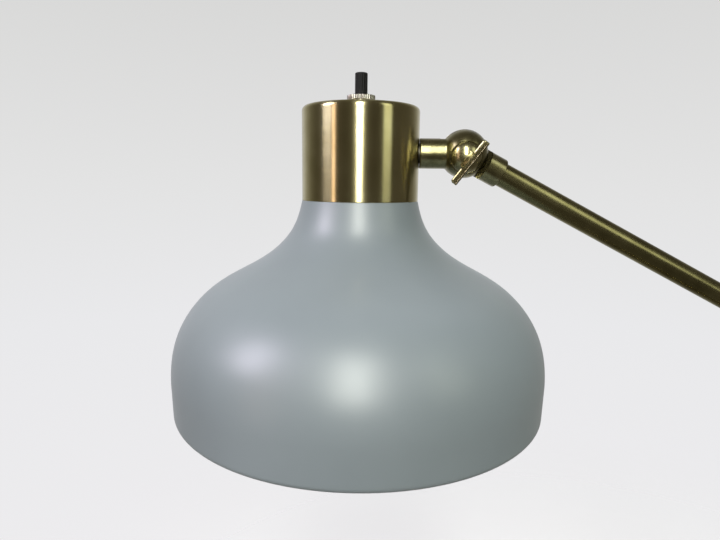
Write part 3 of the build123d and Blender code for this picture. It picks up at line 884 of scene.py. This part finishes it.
    def build(self, layout: Layout) -> None:
        """Make the cap and what stands on it.

        Args:
            layout: Where the head is.
        """
        head = layout.head_frame()
        fit(self.shell(), head, "head", "cap_brass", "cap", BRUSHED)
        fit(self.nut(), head, "head", "switch_nickel", "switch_nut", NICKEL)
        fit(self.bushing(), head, "head", "switch_nickel", "switch_bushing", NICKEL)
        fit(self.knob(), head, "knob", "knob_plastic", "switch_knob", KNOB_PLASTIC)


def smooth_through(points: Sequence[Point], start: Point, end: Point, steps: int) -> list[Point]:
    """Smooth curve through points, as a clamped cubic spline over their chord lengths.

    Args:
        points: The (radius, height) points in mm.
        start: Direction and pull at the first point.
        end: Direction and pull at the last point.
        steps: Spans between neighbouring points.

    Returns:
        Points along the curve.
    """
    knots = np.array(points, float)
    chord = np.linalg.norm(np.diff(knots, axis=0), axis=1)
    count = len(knots)
    matrix = np.zeros((count, count))
    right = np.zeros((count, 2))
    matrix[0, 0] = matrix[-1, -1] = 1.0
    right[0], right[-1] = start, end
    for at in range(1, count - 1):
        before, after = chord[at - 1], chord[at]
        matrix[at, at - 1:at + 2] = after, 2 * (before + after), before
        right[at] = 3 * (
            after * (knots[at] - knots[at - 1]) / before
            + before * (knots[at + 1] - knots[at]) / after
        )
    slopes = np.linalg.solve(matrix, right)
    curve: list[Point] = []
    for at in range(count - 1):
        for step in range(steps):
            t = step / steps
            h = chord[at]
            spot = (
                (2 * t**3 - 3 * t**2 + 1) * knots[at]
                + (t**3 - 2 * t**2 + t) * h * slopes[at]
                + (3 * t**2 - 2 * t**3) * knots[at + 1]
                + (t**3 - t**2) * h * slopes[at + 1]
            )
            curve.append((float(spot[0]), float(spot[1])))
    curve.append(tuple(points[-1]))
    return curve


def inside_of(curve: Sequence[Point], wall: float) -> list[Point]:
    """Curve moved inwards by a wall's thickness, for a curve that runs downwards."""
    spots = np.array(curve, float)
    along = np.gradient(spots, axis=0)
    along /= np.linalg.norm(along, axis=1)[:, None]
    inward = np.stack([along[:, 1], -along[:, 0]], axis=1)
    return [(float(r), float(z)) for r, z in spots + inward * wall]


@dataclass
class Shade:
    """Spun bell shade, grey outside and white inside, with a rolled rim."""

    neck: float = 29.4
    radius: float = 95.2
    height: float = 105.8
    wall: float = 0.8
    hole: float = 19.15
    rim_radius: float = 3.2
    draw_in: float = 0.5
    lip: float = 2.0
    slope: float = 12.0
    pull: float = 1.1
    flare: tuple[Point, ...] = (
        (0.0, 0.0), (0.08, 0.14), (0.313, 0.28), (0.696, 0.42), (0.915, 0.58), (1.0, 0.82),
    )

    def outlines(self, seam: float) -> tuple[list[Point], list[Point]]:
        """Outside and inside of the shade, from the neck's top to the lip.

        Args:
            seam: Height of the shade's top in the head's frame.

        Returns:
            The two curves.
        """
        spread_mm = self.radius - self.neck
        knots = [(self.neck + a * spread_mm, seam - b * self.height) for a, b in self.flare]
        angle = math.radians(self.slope)
        start = (math.sin(angle) * self.pull, -math.cos(angle) * self.pull)
        outside = smooth_through(knots, start, (0.0, -self.pull), 14)
        inside = inside_of(outside, self.wall)
        band = self.radius - self.draw_in
        bottom = seam - self.height
        bend = bottom + self.rim_radius
        turn = band - self.rim_radius
        small = self.rim_radius - self.wall
        steps = 6
        wide = outside[-1]
        run = [
            (wide[0] + (band - wide[0]) * s / steps, wide[1] + (bend - wide[1]) * s / steps)
            for s in range(1, steps)
        ]
        outside += run + arc((turn, bend), self.rim_radius, 0, -90, 14)
        inside += [(r - self.wall, z) for r, z in run] + arc((turn, bend), small, 0, -90, 14)
        return outside, inside

    def shell(self, seam: float) -> bpy.types.Object:
        """The shade's mesh, with the finish number of each strip."""
        outside, inside = self.outlines(seam)
        bottom = seam - self.height
        lip = self.radius - self.draw_in - self.rim_radius - self.lip
        half = self.wall / 2
        curl = arc((lip, bottom + half), half, -90, -270, 8)
        top_edge = rounded(
            [
                Corner(self.hole, seam - self.wall, 0),
                Corner(self.hole, seam, 0.1),
                Corner(self.neck, seam, 0.35),
                Corner(outside[2][0], outside[2][1], 0),
            ]
        )[:-1]
        first = next(i for i, p in enumerate(outside) if p[1] < top_edge[-1][1] - 0.1)
        whole = top_edge + outside[first:] + curl + inside[:0:-1]
        whole.append((self.neck - self.wall, seam - self.wall))
        edge_count = len(top_edge) + len(outside[first:]) + len(curl) // 2
        skins = [
            Skin.OUTSIDE.value if at < edge_count else Skin.INSIDE.value
            for at in range(len(whole))
        ]
        return turned("shade_spun", whole, closed=True, skins=skins, segments=320)

    def build(self, layout: Layout, cap: Cap) -> None:
        """Make the shade.

        Args:
            layout: Where the head is.
            cap: The cap it hangs from.
        """
        shell, head = self.shell(cap.seam), layout.head_frame()
        fit(shell, head, "head", "grey_paint", "shade", GREY_PAINT, WHITE_PAINT)


def threaded(
    low: float, high: float, radius: float, depth: float, pitch: float
) -> list[Point]:
    """Round-bottomed screw outline between two heights, in rings."""
    count = max(2, int((high - low) / pitch * 8))
    points = []
    for step in range(count + 1):
        height = low + (high - low) * step / count
        fade = min(1.0, (height - low) / pitch, (high - height) / pitch)
        wave = 0.5 + 0.5 * math.cos(math.tau * (height - low) / pitch)
        points.append((radius - depth * wave * max(0.0, fade), height))
    return points


@dataclass
class Holder:
    """Ring that clamps the shade under the lampholder below the cap, and the lamp."""

    radius: float = 19.0
    ring_radius: float = 24.5
    ring_height: float = 7.0
    ring_gap: float = 0.1
    ring_ribs: int = 40
    ring_rib_depth: float = 0.5
    shade_wall: float = 0.8
    lamp_cap_radius: float = 13.2
    lamp_cap_length: float = 26.0
    lamp_tip: float = 3.6
    lamp_shoulder: float = 5.5
    contact: float = 4.5
    glass_drop: float = 21.5
    glass_wall: float = 0.9
    glass_neck: float = 12.3
    glass_radius: float = 24.0
    neck_drop: float = 36.0
    belly_drop: float = 67.0
    thread_pitch: float = 3.6
    thread_depth: float = 0.9

    def clamp_ring(self, seam: float) -> bpy.types.Object:
        """Shade ring with finger ribs."""
        high = seam - self.shade_wall
        low = high - self.ring_height
        inner = self.radius + self.ring_gap

        def ribs(angle: float, radius: float, height: float) -> float:
            """Finger ribs round the ring's edge."""
            if radius < self.ring_radius - 1.2:
                return 0.0
            return -self.ring_rib_depth * (0.5 - 0.5 * math.cos(self.ring_ribs * angle))

        outline = rounded(
            [
                Corner(inner, low, 0.3),
                Corner(self.ring_radius, low, 0.9),
                Corner(self.ring_radius, high, 0.4),
                Corner(inner, high, 0.2),
            ],
            closed=True,
        )
        return turned("shade_ring_ribbed", outline, closed=True, swell=ribs, segments=320)

    def lamp_cap(self, seam: float) -> bpy.types.Object:
        """Rolled screw cap of the lamp, with its contact."""
        tip = seam - self.lamp_tip
        low = tip - self.lamp_cap_length
        shoulder = tip - self.lamp_shoulder
        outline = [(0.0, tip), (self.contact - 0.9, tip)]
        outline += [(self.contact, tip - 0.6), (self.contact, tip - 2.0)]
        outline += [(self.lamp_cap_radius - 1.6, shoulder + 0.6)]
        outline += threaded(
            low + 1.5, shoulder, self.lamp_cap_radius, self.thread_depth, self.thread_pitch
        )[::-1]
        inner = self.lamp_cap_radius - self.thread_depth - 0.3
        outline += [(self.lamp_cap_radius, low), (self.lamp_cap_radius - 0.5, low)]
        outline += [(inner, low + 1.5), (inner, shoulder)]
        outline += [(self.contact - 0.5, tip - 2.6), (0.0, tip - 2.6)]
        return turned("lamp_cap_threaded", outline, segments=128)

    def glass(self, seam: float) -> bpy.types.Object:
        """Blown lamp glass, a closed shell."""
        top = seam - self.glass_drop
        neck_end, belly = seam - self.neck_drop, seam - self.belly_drop
        shells = []
        for inset in (0.0, self.glass_wall):
            neck, wide = self.glass_neck - inset, self.glass_radius - inset
            side = smooth_through([(neck, neck_end), (wide, belly)], (0, -1.0), (0, -1.0), 24)
            shells.append(
                [(0.0, top - inset), (neck, top - inset)]
                + side
                + arc((0.0, belly), wide, 0, -90, 24)[1:-1]
                + [(0.0, belly - wide)]
            )
        outer = turned("lamp_glass_frosted", shells[0], segments=128)
        inner = turned("lamp_glass_inside", shells[1], segments=128)
        return combine(outer, [inner], Cut.DIFFERENCE)

    def build(self, layout: Layout, cap: Cap) -> None:
        """Make the ring and the lamp.

        Args:
            layout: Where the head is.
            cap: The cap above the holder.
        """
        head = layout.head_frame()
        ring, lamp_cap, glass = (
            make(cap.seam) for make in (self.clamp_ring, self.lamp_cap, self.glass)
        )
        fit(ring, head, "head", "holder_plastic", "shade_ring", HOLDER_PLASTIC)
        fit(lamp_cap, head, "head", "lamp_aluminium", "lamp_cap", ALUMINIUM)
        fit(glass, head, "head", "lamp_glass", "lamp_glass", GLASS)


# ------------------------------------------------------------------ knuckles


@dataclass
class Knuckle:
    """Ball knuckle: two halves that turn on each other, and the wing screw through them."""

    ball: float = 12.0
    cup: float = 14.4
    neck: float = 7.5
    blend: float = 1.0
    face: float = 0.5
    reach: float = 21.3
    screw: float = 3.0
    running: float = 0.05
    hub: float = 7.5
    hub_edge: float = 1.0
    hub_rise: float = 4.0
    groove: float = 0.45
    spot: float = 8.3
    seat: float = 0.1
    grip: float = 8.5
    wing_width: float = 24.4
    wing_neck: float = 8.6
    wing_tip: float = 22.4
    wing_side: float = 18.2
    wing_thickness: float = 2.6
    wing_corner: float = 0.8
    border: float = 1.0
    recess: float = 0.45

    def half_ball(self, front: bool) -> bpy.types.Object:
        """Half ball on +Z, with the hub's seat if it is the front one."""
        hole = self.screw + self.running
        lowest = math.degrees(math.asin(self.face / self.ball))
        edge = [(hole, self.face), (self.ball - 0.5, self.face), (self.ball - 0.16, self.face + 0.02)]
        if front:
            rim = self.hub + self.groove
            highest = math.degrees(math.acos((rim + 0.12) / self.ball))
            outline = edge + arc((0, 0), self.ball, lowest + 0.8, highest, 40)
            rim_height = outline[-1][1]
            outline += [(rim, rim_height - 0.1), (rim, self.spot), (hole, self.spot)]
            return turned("half_ball", outline, closed=True)
        outline = [(0.0, self.grip + self.seat), (hole, self.grip + self.seat)] + edge
        outline += arc((0, 0), self.ball, lowest + 0.8, 90, 48)[:-1] + [(0.0, self.ball)]
        return turned("half_ball", outline)

    def neck_piece(self, reach: float) -> bpy.types.Object:
        """Neck along +X with its blend into the ball and its cup for the other half."""
        span = self.ball + self.blend
        rise = self.neck + self.blend
        along = math.sqrt(span**2 - rise**2)
        foot = 180 + math.degrees(math.atan2(along, rise))
        outline = [(0.0, 5.0), (self.ball * rise / span - 0.6, self.ball * along / span - 0.6)]
        outline += arc((rise, along), self.blend, foot, 180, 8)
        outline += rounded(
            [
                Corner(self.neck, along + 0.5, 0),
                Corner(self.neck, reach, 0.55),
                Corner(0.0, reach, 0),
            ],
            steps=5,
        )
        neck = lay_along_x(turned("neck", outline))
        cup = [(0.0, self.face), (self.cup, self.face)]
        cup += arc((0, 0), self.cup, 0, -90, 48)[:-1] + [(0.0, -self.cup)]
        return combine(neck, [turned("cup_tool", cup)], Cut.DIFFERENCE)

    def half(self, name: str, reach: float, front: bool) -> bpy.types.Object:
        """A whole half knuckle, half ball on +Z and neck along +X."""
        half = self.half_ball(front)
        half.name = name
        half.data.name = name
        return combine(half, [self.neck_piece(reach)], Cut.UNION)

    def wing_ring(self, inset: float) -> list[Point]:
        """Rounded outline of the wing, a bar on a short neck, moved inwards by inset."""
        root = self.spot + self.seat + self.hub_edge + inset
        neck = self.wing_neck / 2 - inset
        half = self.wing_width / 2 - inset
        under = self.wing_side + inset
        tip = self.wing_tip - inset
        convex = max(0.2, self.wing_corner - inset)
        right = [
            Corner(neck, root, convex), Corner(neck, under, self.wing_corner + inset),
            Corner(half, under, convex), Corner(half, tip, convex),
        ]
        left = [Corner(-corner.radius, corner.height, corner.rounding) for corner in right]
        return rounded(right + left[::-1], closed=True)

    def wing(self) -> bpy.types.Object:
        """Flat of the wing screw: grooved rim, raised border, sunk panels."""
        side = self.wing_thickness / 2
        half = [
            (self.border + 0.5, side - self.recess), (self.border, side - self.recess),
            (self.border - 0.3, side - 0.06), (self.border - 0.5, side), (0.34, side),
            (0.1, side - 0.1), (0.0, side - 0.34), (0.0, 0.46), (0.05, 0.4), (0.3, 0.34),
            (0.3, 0.14), (0.05, 0.08),
        ]
        levels = [(inset, -y) for inset, y in half] + [(0.0, 0.0)]
        levels += [(inset, y) for inset, y in reversed(half)]
        mesh = bmesh.new()
        rings = [
            [mesh.verts.new((x * MM, y * MM, z * MM)) for x, z in self.wing_ring(inset)]
            for inset, y in levels
        ]
        for low, high in zip(rings, rings[1:]):
            bridge(mesh, low, high, 0)
        mesh.faces.new(rings[0])
        mesh.faces.new(rings[-1])
        return keep_mesh("wing", mesh)

    def wing_screw(self, name: str) -> bpy.types.Object:
        """Wing screw: shank, domed hub and wing in one."""
        low = self.spot + self.seat
        edge = low + self.hub_edge
        top = edge + self.hub_rise
        dome = (self.hub**2 + self.hub_rise**2) / (2 * self.hub_rise)
        start = math.degrees(math.acos(self.hub / dome))
        outline = [(0.0, -self.grip), (self.screw, -self.grip), (self.screw, low)]
        outline += [(self.hub - 0.15, low), (self.hub, low + 0.15), (self.hub, edge - 0.2)]
        outline += arc((0.0, top - dome), dome, start + 0.8, 90, 30)[:-1] + [(0.0, top)]
        hub = turned(name, outline, segments=160)
        return combine(hub, [self.wing()], Cut.UNION)


@dataclass
class Joint:
    """One knuckle's place: centre, pivot, the two necks, and the wing's turn in degrees."""

    name: str
    centre: Vector
    pivot: Vector
    front_neck: Vector
    rear_neck: Vector
    front_reach: float
    wing_turn: float
    front_body: str
    rear_body: str
    front_node: str
    rear_node: str

    @property
    def wing_node(self) -> str:
        """Name of the wing screw's node."""
        return f"{self.name}_wing_screw"

    def build(self, knuckle: Knuckle) -> None:
        """Make the knuckle's halves and wing screw.

        Args:
            knuckle: Sizes shared by all knuckles.
        """
        front = axes(self.centre, self.front_neck, self.pivot)
        rear = axes(self.centre, self.rear_neck, -self.pivot)
        parked = front @ Matrix.Rotation(math.radians(self.wing_turn), 4, "Z")
        front_half = knuckle.half(f"{self.name}_front_half", self.front_reach, True)
        fit(front_half, front, self.front_body, "lacquered_brass", self.front_node, TURNED)
        rear_half = knuckle.half(f"{self.name}_rear_half", knuckle.reach, False)
        fit(rear_half, rear, self.rear_body, "lacquered_brass", self.rear_node, TURNED)
        wing_screw = knuckle.wing_screw(f"{self.name}_wing_screw_key")
        fit(wing_screw, parked, f"{self.name}_wing", "wing_brass", self.wing_node, POLISHED)


@dataclass
class Arms:
    """The two tubes and the three knuckles."""

    tube: float = 6.0
    wall: float = 1.0
    riser_reach: float = 35.5
    stub_reach: float = 22.36
    base_turn: float = 90.0
    elbow_turn: float = 35.0
    head_turn: float = 54.5

    def pipe(self, name: str, span: float, reach: float) -> bpy.types.Object:
        """Tube between two knuckles, along Z from the first one's centre."""
        inner = self.tube - self.wall
        outline = rounded(
            [
                Corner(inner, reach, 0.15),
                Corner(self.tube, reach, 0.3),
                Corner(self.tube, span - reach, 0.3),
                Corner(inner, span - reach, 0.15),
            ],
            closed=True,
        )
        return turned(name, outline, closed=True, segments=128)

    def build(self, layout: Layout, knuckle: Knuckle) -> None:
        """Make the tubes and the knuckles.

        Args:
            layout: Where the knuckles are.
            knuckle: Sizes shared by all knuckles.
        """
        for name, start, end in (
            ("lower", layout.base, layout.elbow), ("upper", layout.elbow, layout.head)
        ):
            along = end - start
            pipe = self.pipe(f"{name}_arm_tube", along.length / MM, knuckle.reach)
            place = axes(start, layout.front, along)
            fit(pipe, place, f"{name}_arm", "tube_brass", f"{name}_tube", TUBE_BRASS)
        joints = [
            Joint(
                "base", layout.base, layout.front, -layout.up, layout.lower, self.riser_reach,
                self.base_turn, "base", "lower_arm", "riser", "base_knuckle",
            ),
            Joint(
                "elbow", layout.elbow, layout.front, layout.upper, -layout.lower, knuckle.reach,
                self.elbow_turn, "upper_arm", "lower_arm", "elbow_front_knuckle", "elbow_rear_knuckle",
            ),
            Joint(
                "head", layout.head, layout.pivot, -layout.stub, -layout.upper, self.stub_reach,
                self.head_turn, "stub", "upper_arm", "stub_knuckle", "head_rear_knuckle",
            ),
        ]
        for joint in joints:
            joint.build(knuckle)


# ------------------------------------------------------------------ base


@dataclass
class Base:
    """Round base: spun cover, ring round the riser, cord gland and pad."""

    radius: float = 95.0
    height: float = 18.5
    edge: float = 5.0
    wall: float = 1.2
    lift: float = 0.8
    hole: float = 5.1
    pad_radius: float = 92.0
    pad_height: float = 2.5
    ring_radius: float = 16.0
    ring_height: float = 6.0
    ring_waist: float = 8.5
    ring_bow: float = 2.1
    ring_steps: int = 14
    gland_height: float = 7.6
    gland_radius: float = 4.5
    gland_gap: float = 0.15
    gland_bore: float = 3.2
    gland_flange: float = 6.2
    gland_thickness: float = 2.0
    gland_depth: float = 6.0
    seat: float = 0.1

    def cover(self) -> bpy.types.Object:
        """Spun cover with a rounded edge and the gland's hole."""
        inner, under = self.radius - self.wall, self.height - self.wall
        outline = rounded(
            [
                Corner(self.hole, self.height, 0.1),
                Corner(self.radius, self.height, self.edge),
                Corner(self.radius, self.lift, 0.3),
                Corner(inner, self.lift, 0.3),
                Corner(inner, under, self.edge - self.wall),
                Corner(self.hole, under, 0.1),
            ],
            closed=True,
            steps=12,
        )
        cover = turned("base_cover_spun", outline, closed=True, segments=360)
        near, far = inner - BITE, self.radius + OVERRUN
        bore = self.gland_radius + self.gland_gap
        cutter = drill("gland_tool", bore, near, far, self.gland_height)
        return combine(cover, [cutter], Cut.DIFFERENCE)

    def ring(self) -> bpy.types.Object:
        """Flared ring that the riser stands in."""
        low, top = self.height, self.height + self.ring_height
        lip = low + 1.5
        wide, waist = self.ring_radius, self.ring_waist
        shares = [step / self.ring_steps for step in range(1, self.ring_steps)]
        outline = [(self.hole, low), (wide - 0.2, low), (wide, low + 0.2)]
        outline += [(wide, lip - 0.3), (wide - 0.3, lip)]
        outline += [
            (waist + (wide - waist) * (1 - share) ** self.ring_bow, lip + (top - lip) * share)
            for share in shares
        ]
        outline += [(waist, top - 0.1), (waist - 0.1, top), (self.hole, top)]
        return turned("riser_foot_ring", outline, closed=True)

    def gland(self) -> bpy.types.Object:
        """Bushing in the cover's back."""
        face = self.radius + self.seat
        outline = rounded(
            [
                Corner(self.gland_bore, face - self.gland_depth, 0.3),
                Corner(self.gland_radius, face - self.gland_depth, 0.3),
                Corner(self.gland_radius, face, 0.05),
                Corner(self.gland_flange, face, 0.2),
                Corner(self.gland_flange, face + self.gland_thickness, 0.7),
                Corner(self.gland_bore, face + self.gland_thickness, 0.7),
            ],
            closed=True,
        )
        gland = turned("cord_gland_bushing", outline, closed=True, segments=96)
        return lay_along_x(gland, self.gland_height)

    def pad(self) -> bpy.types.Object:
        """Rubber pad under the weight."""
        outline = rounded(
            [
                Corner(0.0, 0.0),
                Corner(self.pad_radius, 0.0, 0.4),
                Corner(self.pad_radius, self.pad_height, 0.4),
                Corner(0.0, self.pad_height),
            ]
        )
        return turned("base_pad_rubber", outline)

    def build(self, layout: Layout) -> None:
        """Make the base's visible pieces.

        Args:
            layout: Where the base is.
        """
        here = axes(Vector((layout.base.x, layout.base.y, 0.0)), Vector((1, 0, 0)), layout.up)
        fit(self.cover(), here, "base", "lacquered_brass", "base_cover", BASE_BRASS)
        fit(self.ring(), here, "base", "lacquered_brass", "foot_ring", TURNED)
        fit(self.gland(), here, "base", "black_plastic", "cord_gland", BLACK_PLASTIC)
        fit(self.pad(), here, "base", "pad_rubber", "base_pad", PAD_RUBBER)


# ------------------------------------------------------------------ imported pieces


SLOT_FINISHES: dict[str, Finish] = {
    "pad_rubber": PAD_RUBBER,
    "weight_iron": IRON,
    "lacquered_brass": TURNED,
    "black_plastic": BLACK_PLASTIC,
    # dull steel, its dark colour painted shade for the gap between the stub and the cap
    "nipple_steel": NIPPLE_STEEL_PAINTED_SHADE,
    "fibre": FIBRE,
    "tube_brass": TUBE_BRASS,
    "cable_plastic": CABLE_PLASTIC,
    "wing_brass": POLISHED,
    "cap_brass": BRUSHED,
    "grub_screw_steel": BLACK_STEEL,
    "ring_aluminium": ALUMINIUM,
    "grey_paint": GREY_PAINT,
    "holder_plastic": HOLDER_PLASTIC,
    "contact_brass": CONTACT_BRASS,
    "lamp_aluminium": ALUMINIUM,
    "lamp_glass": GLASS,
    "switch_nickel": NICKEL,
    "lead_plastic": LEAD_PLASTIC,
    "knob_plastic": KNOB_PLASTIC,
}


def dress_packed_pieces() -> None:
    """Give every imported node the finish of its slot."""
    slots = {part["node"]: part["material_slot"] for part in frame["record"]["subparts"]}
    for name, node in frame["nodes"].items():
        finish = SLOT_FINISHES[slots[name]]
        node.data.materials.clear()
        node.data.materials.append(finish.material())
        LOG.info("finished %s with %s", name, finish.name)


# ------------------------------------------------------------------ studio


@dataclass
class Softbox:
    """A soft light: where it stands as seen from the head, its size and its colour."""

    name: str
    azimuth: float      # degrees to the right of the line from the head to the camera
    elevation: float
    distance: float     # metres
    width: float
    height: float
    power: float
    colour: str
    mirrored: bool = True  # whether the brass and the paint show it as a bright patch


@dataclass(frozen=True)
class Sky:
    """Surroundings shaded along one axis: its letter, the range it covers and its colours."""

    along: str
    low: float
    high: float
    stops: tuple[tuple[float, str], ...]
    strength: float

    def lay(self, tree: bpy.types.NodeTree, place: bpy.types.NodeSocket) -> bpy.types.NodeSocket:
        """Colour the surroundings along the axis.

        Args:
            tree: The world's node tree.
            place: Place along the axis, from -1 to 1.

        Returns:
            The shaded background.
        """
        span = {"From Min": self.low, "From Max": self.high}
        share = add_node(tree, "ShaderNodeMapRange", span, {"Value": place})
        ramp = add_node(tree, "ShaderNodeValToRGB", links={"Fac": share.outputs["Result"]})
        set_stops(ramp, self.stops)
        colour = {"Color": ramp.outputs["Color"]}
        sky = add_node(tree, "ShaderNodeBackground", {"Strength": self.strength}, colour)
        return sky.outputs["Background"]


@dataclass
class Studio:
    """Pale floor, soft light and the camera."""

    yaw: float = 5.47
    pitch: float = 9.43
    roll: float = 0.68
    side_mm: float = 0.54
    below_mm: float = 81.05
    distance_mm: float = 269.07
    lens: float = 27.0
    floor_solid: float = 0.2
    floor_gone: float = 0.8
    paper: str = "E2E2E3"
    backdrop: Sky = Sky(
        "Z", -0.55, 0.35,
        ((0.0, "EDECEE"), (0.35, "E9E9EB"), (0.6, "E3E3E3"), (1.0, "D6D6D5")), 1.0,
    )
    room: Sky = Sky(
        "Y", -1.0, 1.0,
        (
            (0.0, "524D43"), (0.6, "666258"), (0.72, "807D73"), (0.83, "AFAEA9"),
            (0.93, "DEDFE0"),
        ),
        0.9,
    )
    softboxes: tuple[Softbox, ...] = (
        Softbox("window_behind_camera", -2.0, 28.0, 1.8, 0.3, 1.6, 36.0, "FDFFF6"),
        Softbox("window_left", -69.0, 29.0, 1.7, 0.55, 0.8, 16.0, "F2EAFB"),
        Softbox("warm_strip_left", -52.0, 4.0, 1.5, 0.17, 1.2, 1.7, "FFDCCC"),
        Softbox("window_right", 52.0, 22.0, 1.7, 0.5, 1.2, 4.0, "F0F6DE"),
        Softbox("glow_right", 125.0, 30.0, 1.9, 0.9, 1.0, 12.0, "F6FAFF", mirrored=False),
        Softbox("glow_left", -125.0, 20.0, 1.9, 0.7, 1.0, 6.0, "F6FAFF", mirrored=False),
        Softbox("overhead", 180.0, 72.0, 1.6, 1.6, 1.2, 12.0, "FFFFFF", mirrored=False),
    )

    def level_directions(self) -> tuple[Vector, Vector]:
        """Camera's right and forward directions as they lie on the floor."""
        yaw = math.radians(self.yaw)
        right = Vector((math.cos(yaw), -math.sin(yaw), 0.0))
        return right, Vector((math.sin(yaw), math.cos(yaw), 0.0))

    def directions(self) -> tuple[Vector, Vector, Vector]:
        """Camera's right, up and forward directions."""
        pitch, roll = math.radians(self.pitch), math.radians(self.roll)
        flat_right, level = self.level_directions()
        forward = level * math.cos(pitch) - Vector((0, 0, math.sin(pitch)))
        flat_up = flat_right.cross(forward)
        right = flat_right * math.cos(roll) + flat_up * math.sin(roll)
        return right, right.cross(forward), forward

    def camera(self, layout: Layout, cap: Cap) -> None:
        """Camera near the head, a little above its middle and turned slightly down."""
        right, up, forward = self.directions()
        top = layout.centre + Vector((0, 0, cap.top * MM))
        spot = top + (
            right * -self.side_mm - up * self.below_mm - forward * self.distance_mm
        ) * MM
        lens = bpy.data.cameras.new("camera")
        lens.lens = self.lens
        lens.sensor_width = 36.0
        lens.clip_start = 0.01
        lens.clip_end = 50.0
        camera = bpy.data.objects.new("camera", lens)
        spin = Matrix((right, up, -forward)).transposed().to_4x4()
        camera.matrix_world = Matrix.Translation(spot) @ spin
        bpy.context.scene.collection.objects.link(camera)
        bpy.context.scene.camera = camera

    def light(self, box: Softbox, target: Vector) -> None:
        """Stand a softbox round the head, facing it."""
        right, forward = self.level_directions()
        azimuth, elevation = math.radians(box.azimuth), math.radians(box.elevation)
        level = right * math.sin(azimuth) - forward * math.cos(azimuth)
        out = level * math.cos(elevation) + Vector((0, 0, math.sin(elevation)))
        lamp = bpy.data.lights.new(box.name, "AREA")
        lamp.shape = "RECTANGLE"
        lamp.size, lamp.size_y = box.width, box.height
        lamp.energy = box.power
        lamp.color = linear(box.colour)[:3]
        stand = bpy.data.objects.new(box.name, lamp)
        stand.location = target + out * box.distance
        stand.rotation_euler = (-out).to_track_quat("-Z", "Y").to_euler()
        stand.visible_glossy = box.mirrored
        bpy.context.scene.collection.objects.link(stand)

    def floor(self) -> None:
        """Pale matte floor that fades out into the pale surroundings, unseen in the brass."""
        rings = [self.floor_gone * step / 12 for step in range(13)]
        floor = turned("floor", [(radius / MM, 0.0) for radius in rings], segments=96)
        made = bpy.data.materials.new("floor_paper_pale")
        tree = empty_tree(made)
        paper = add_node(tree, "ShaderNodeBsdfDiffuse", {"Color": linear(self.paper)})
        place = add_node(tree, "ShaderNodeTexCoord")
        away = add_node(
            tree, "ShaderNodeVectorMath", {"operation": "LENGTH"}, {0: place.outputs["Object"]}
        )
        fade = add_node(
            tree,
            "ShaderNodeMapRange",
            {"From Min": self.floor_solid, "From Max": self.floor_gone,
             "interpolation_type": "SMOOTHSTEP"},
            {"Value": away.outputs["Value"]},
        )
        clear = add_node(tree, "ShaderNodeBsdfTransparent")
        mixed = add_node(
            tree,
            "ShaderNodeMixShader",
            links={0: fade.outputs["Result"], 1: paper.outputs[0], 2: clear.outputs[0]},
        )
        add_node(tree, "ShaderNodeOutputMaterial", links={"Surface": mixed.outputs[0]})
        floor.data.materials.append(made)
        floor.visible_glossy = False

    def surroundings(self) -> None:
        """Pale backdrop to look at; a dimmer room behind the camera to reflect."""
        world = bpy.data.worlds.new("studio")
        bpy.context.scene.world = world
        tree = empty_tree(world)
        place = add_node(tree, "ShaderNodeTexCoord")
        split = add_node(
            tree, "ShaderNodeSeparateXYZ", links={"Vector": place.outputs["Generated"]}
        )
        room, seen = (
            sky.lay(tree, split.outputs[sky.along]) for sky in (self.room, self.backdrop)
        )
        path = add_node(tree, "ShaderNodeLightPath")
        mixed = add_node(
            tree,
            "ShaderNodeMixShader",
            links={0: path.outputs["Is Camera Ray"], 1: room, 2: seen},
        )
        add_node(tree, "ShaderNodeOutputWorld", links={"Surface": mixed.outputs[0]})

    def build(self, layout: Layout, cap: Cap) -> None:
        """Set up the camera, lights, floor and surroundings.

        Args:
            layout: Where the head is.
            cap: The cap, whose top the camera is placed from.
        """
        self.camera(layout, cap)
        for box in self.softboxes:
            self.light(box, layout.centre)
        self.floor()
        self.surroundings()
        view = bpy.context.scene.view_settings
        view.view_transform = "Standard"
        view.look = "None"


def main() -> None:
    """Build the studio and the lamp."""
    logging.basicConfig(level=logging.INFO, format="%(name)s: %(message)s")
    layout = Layout()
    cap, knuckle = Cap(), Knuckle()
    Studio().build(layout, cap)
    dress_packed_pieces()
    cap.build(layout)
    Shade().build(layout, cap)
    Holder().build(layout, cap)
    Arms().build(layout, knuckle)
    Base().build(layout)


if __name__ == "__main__":
    main()
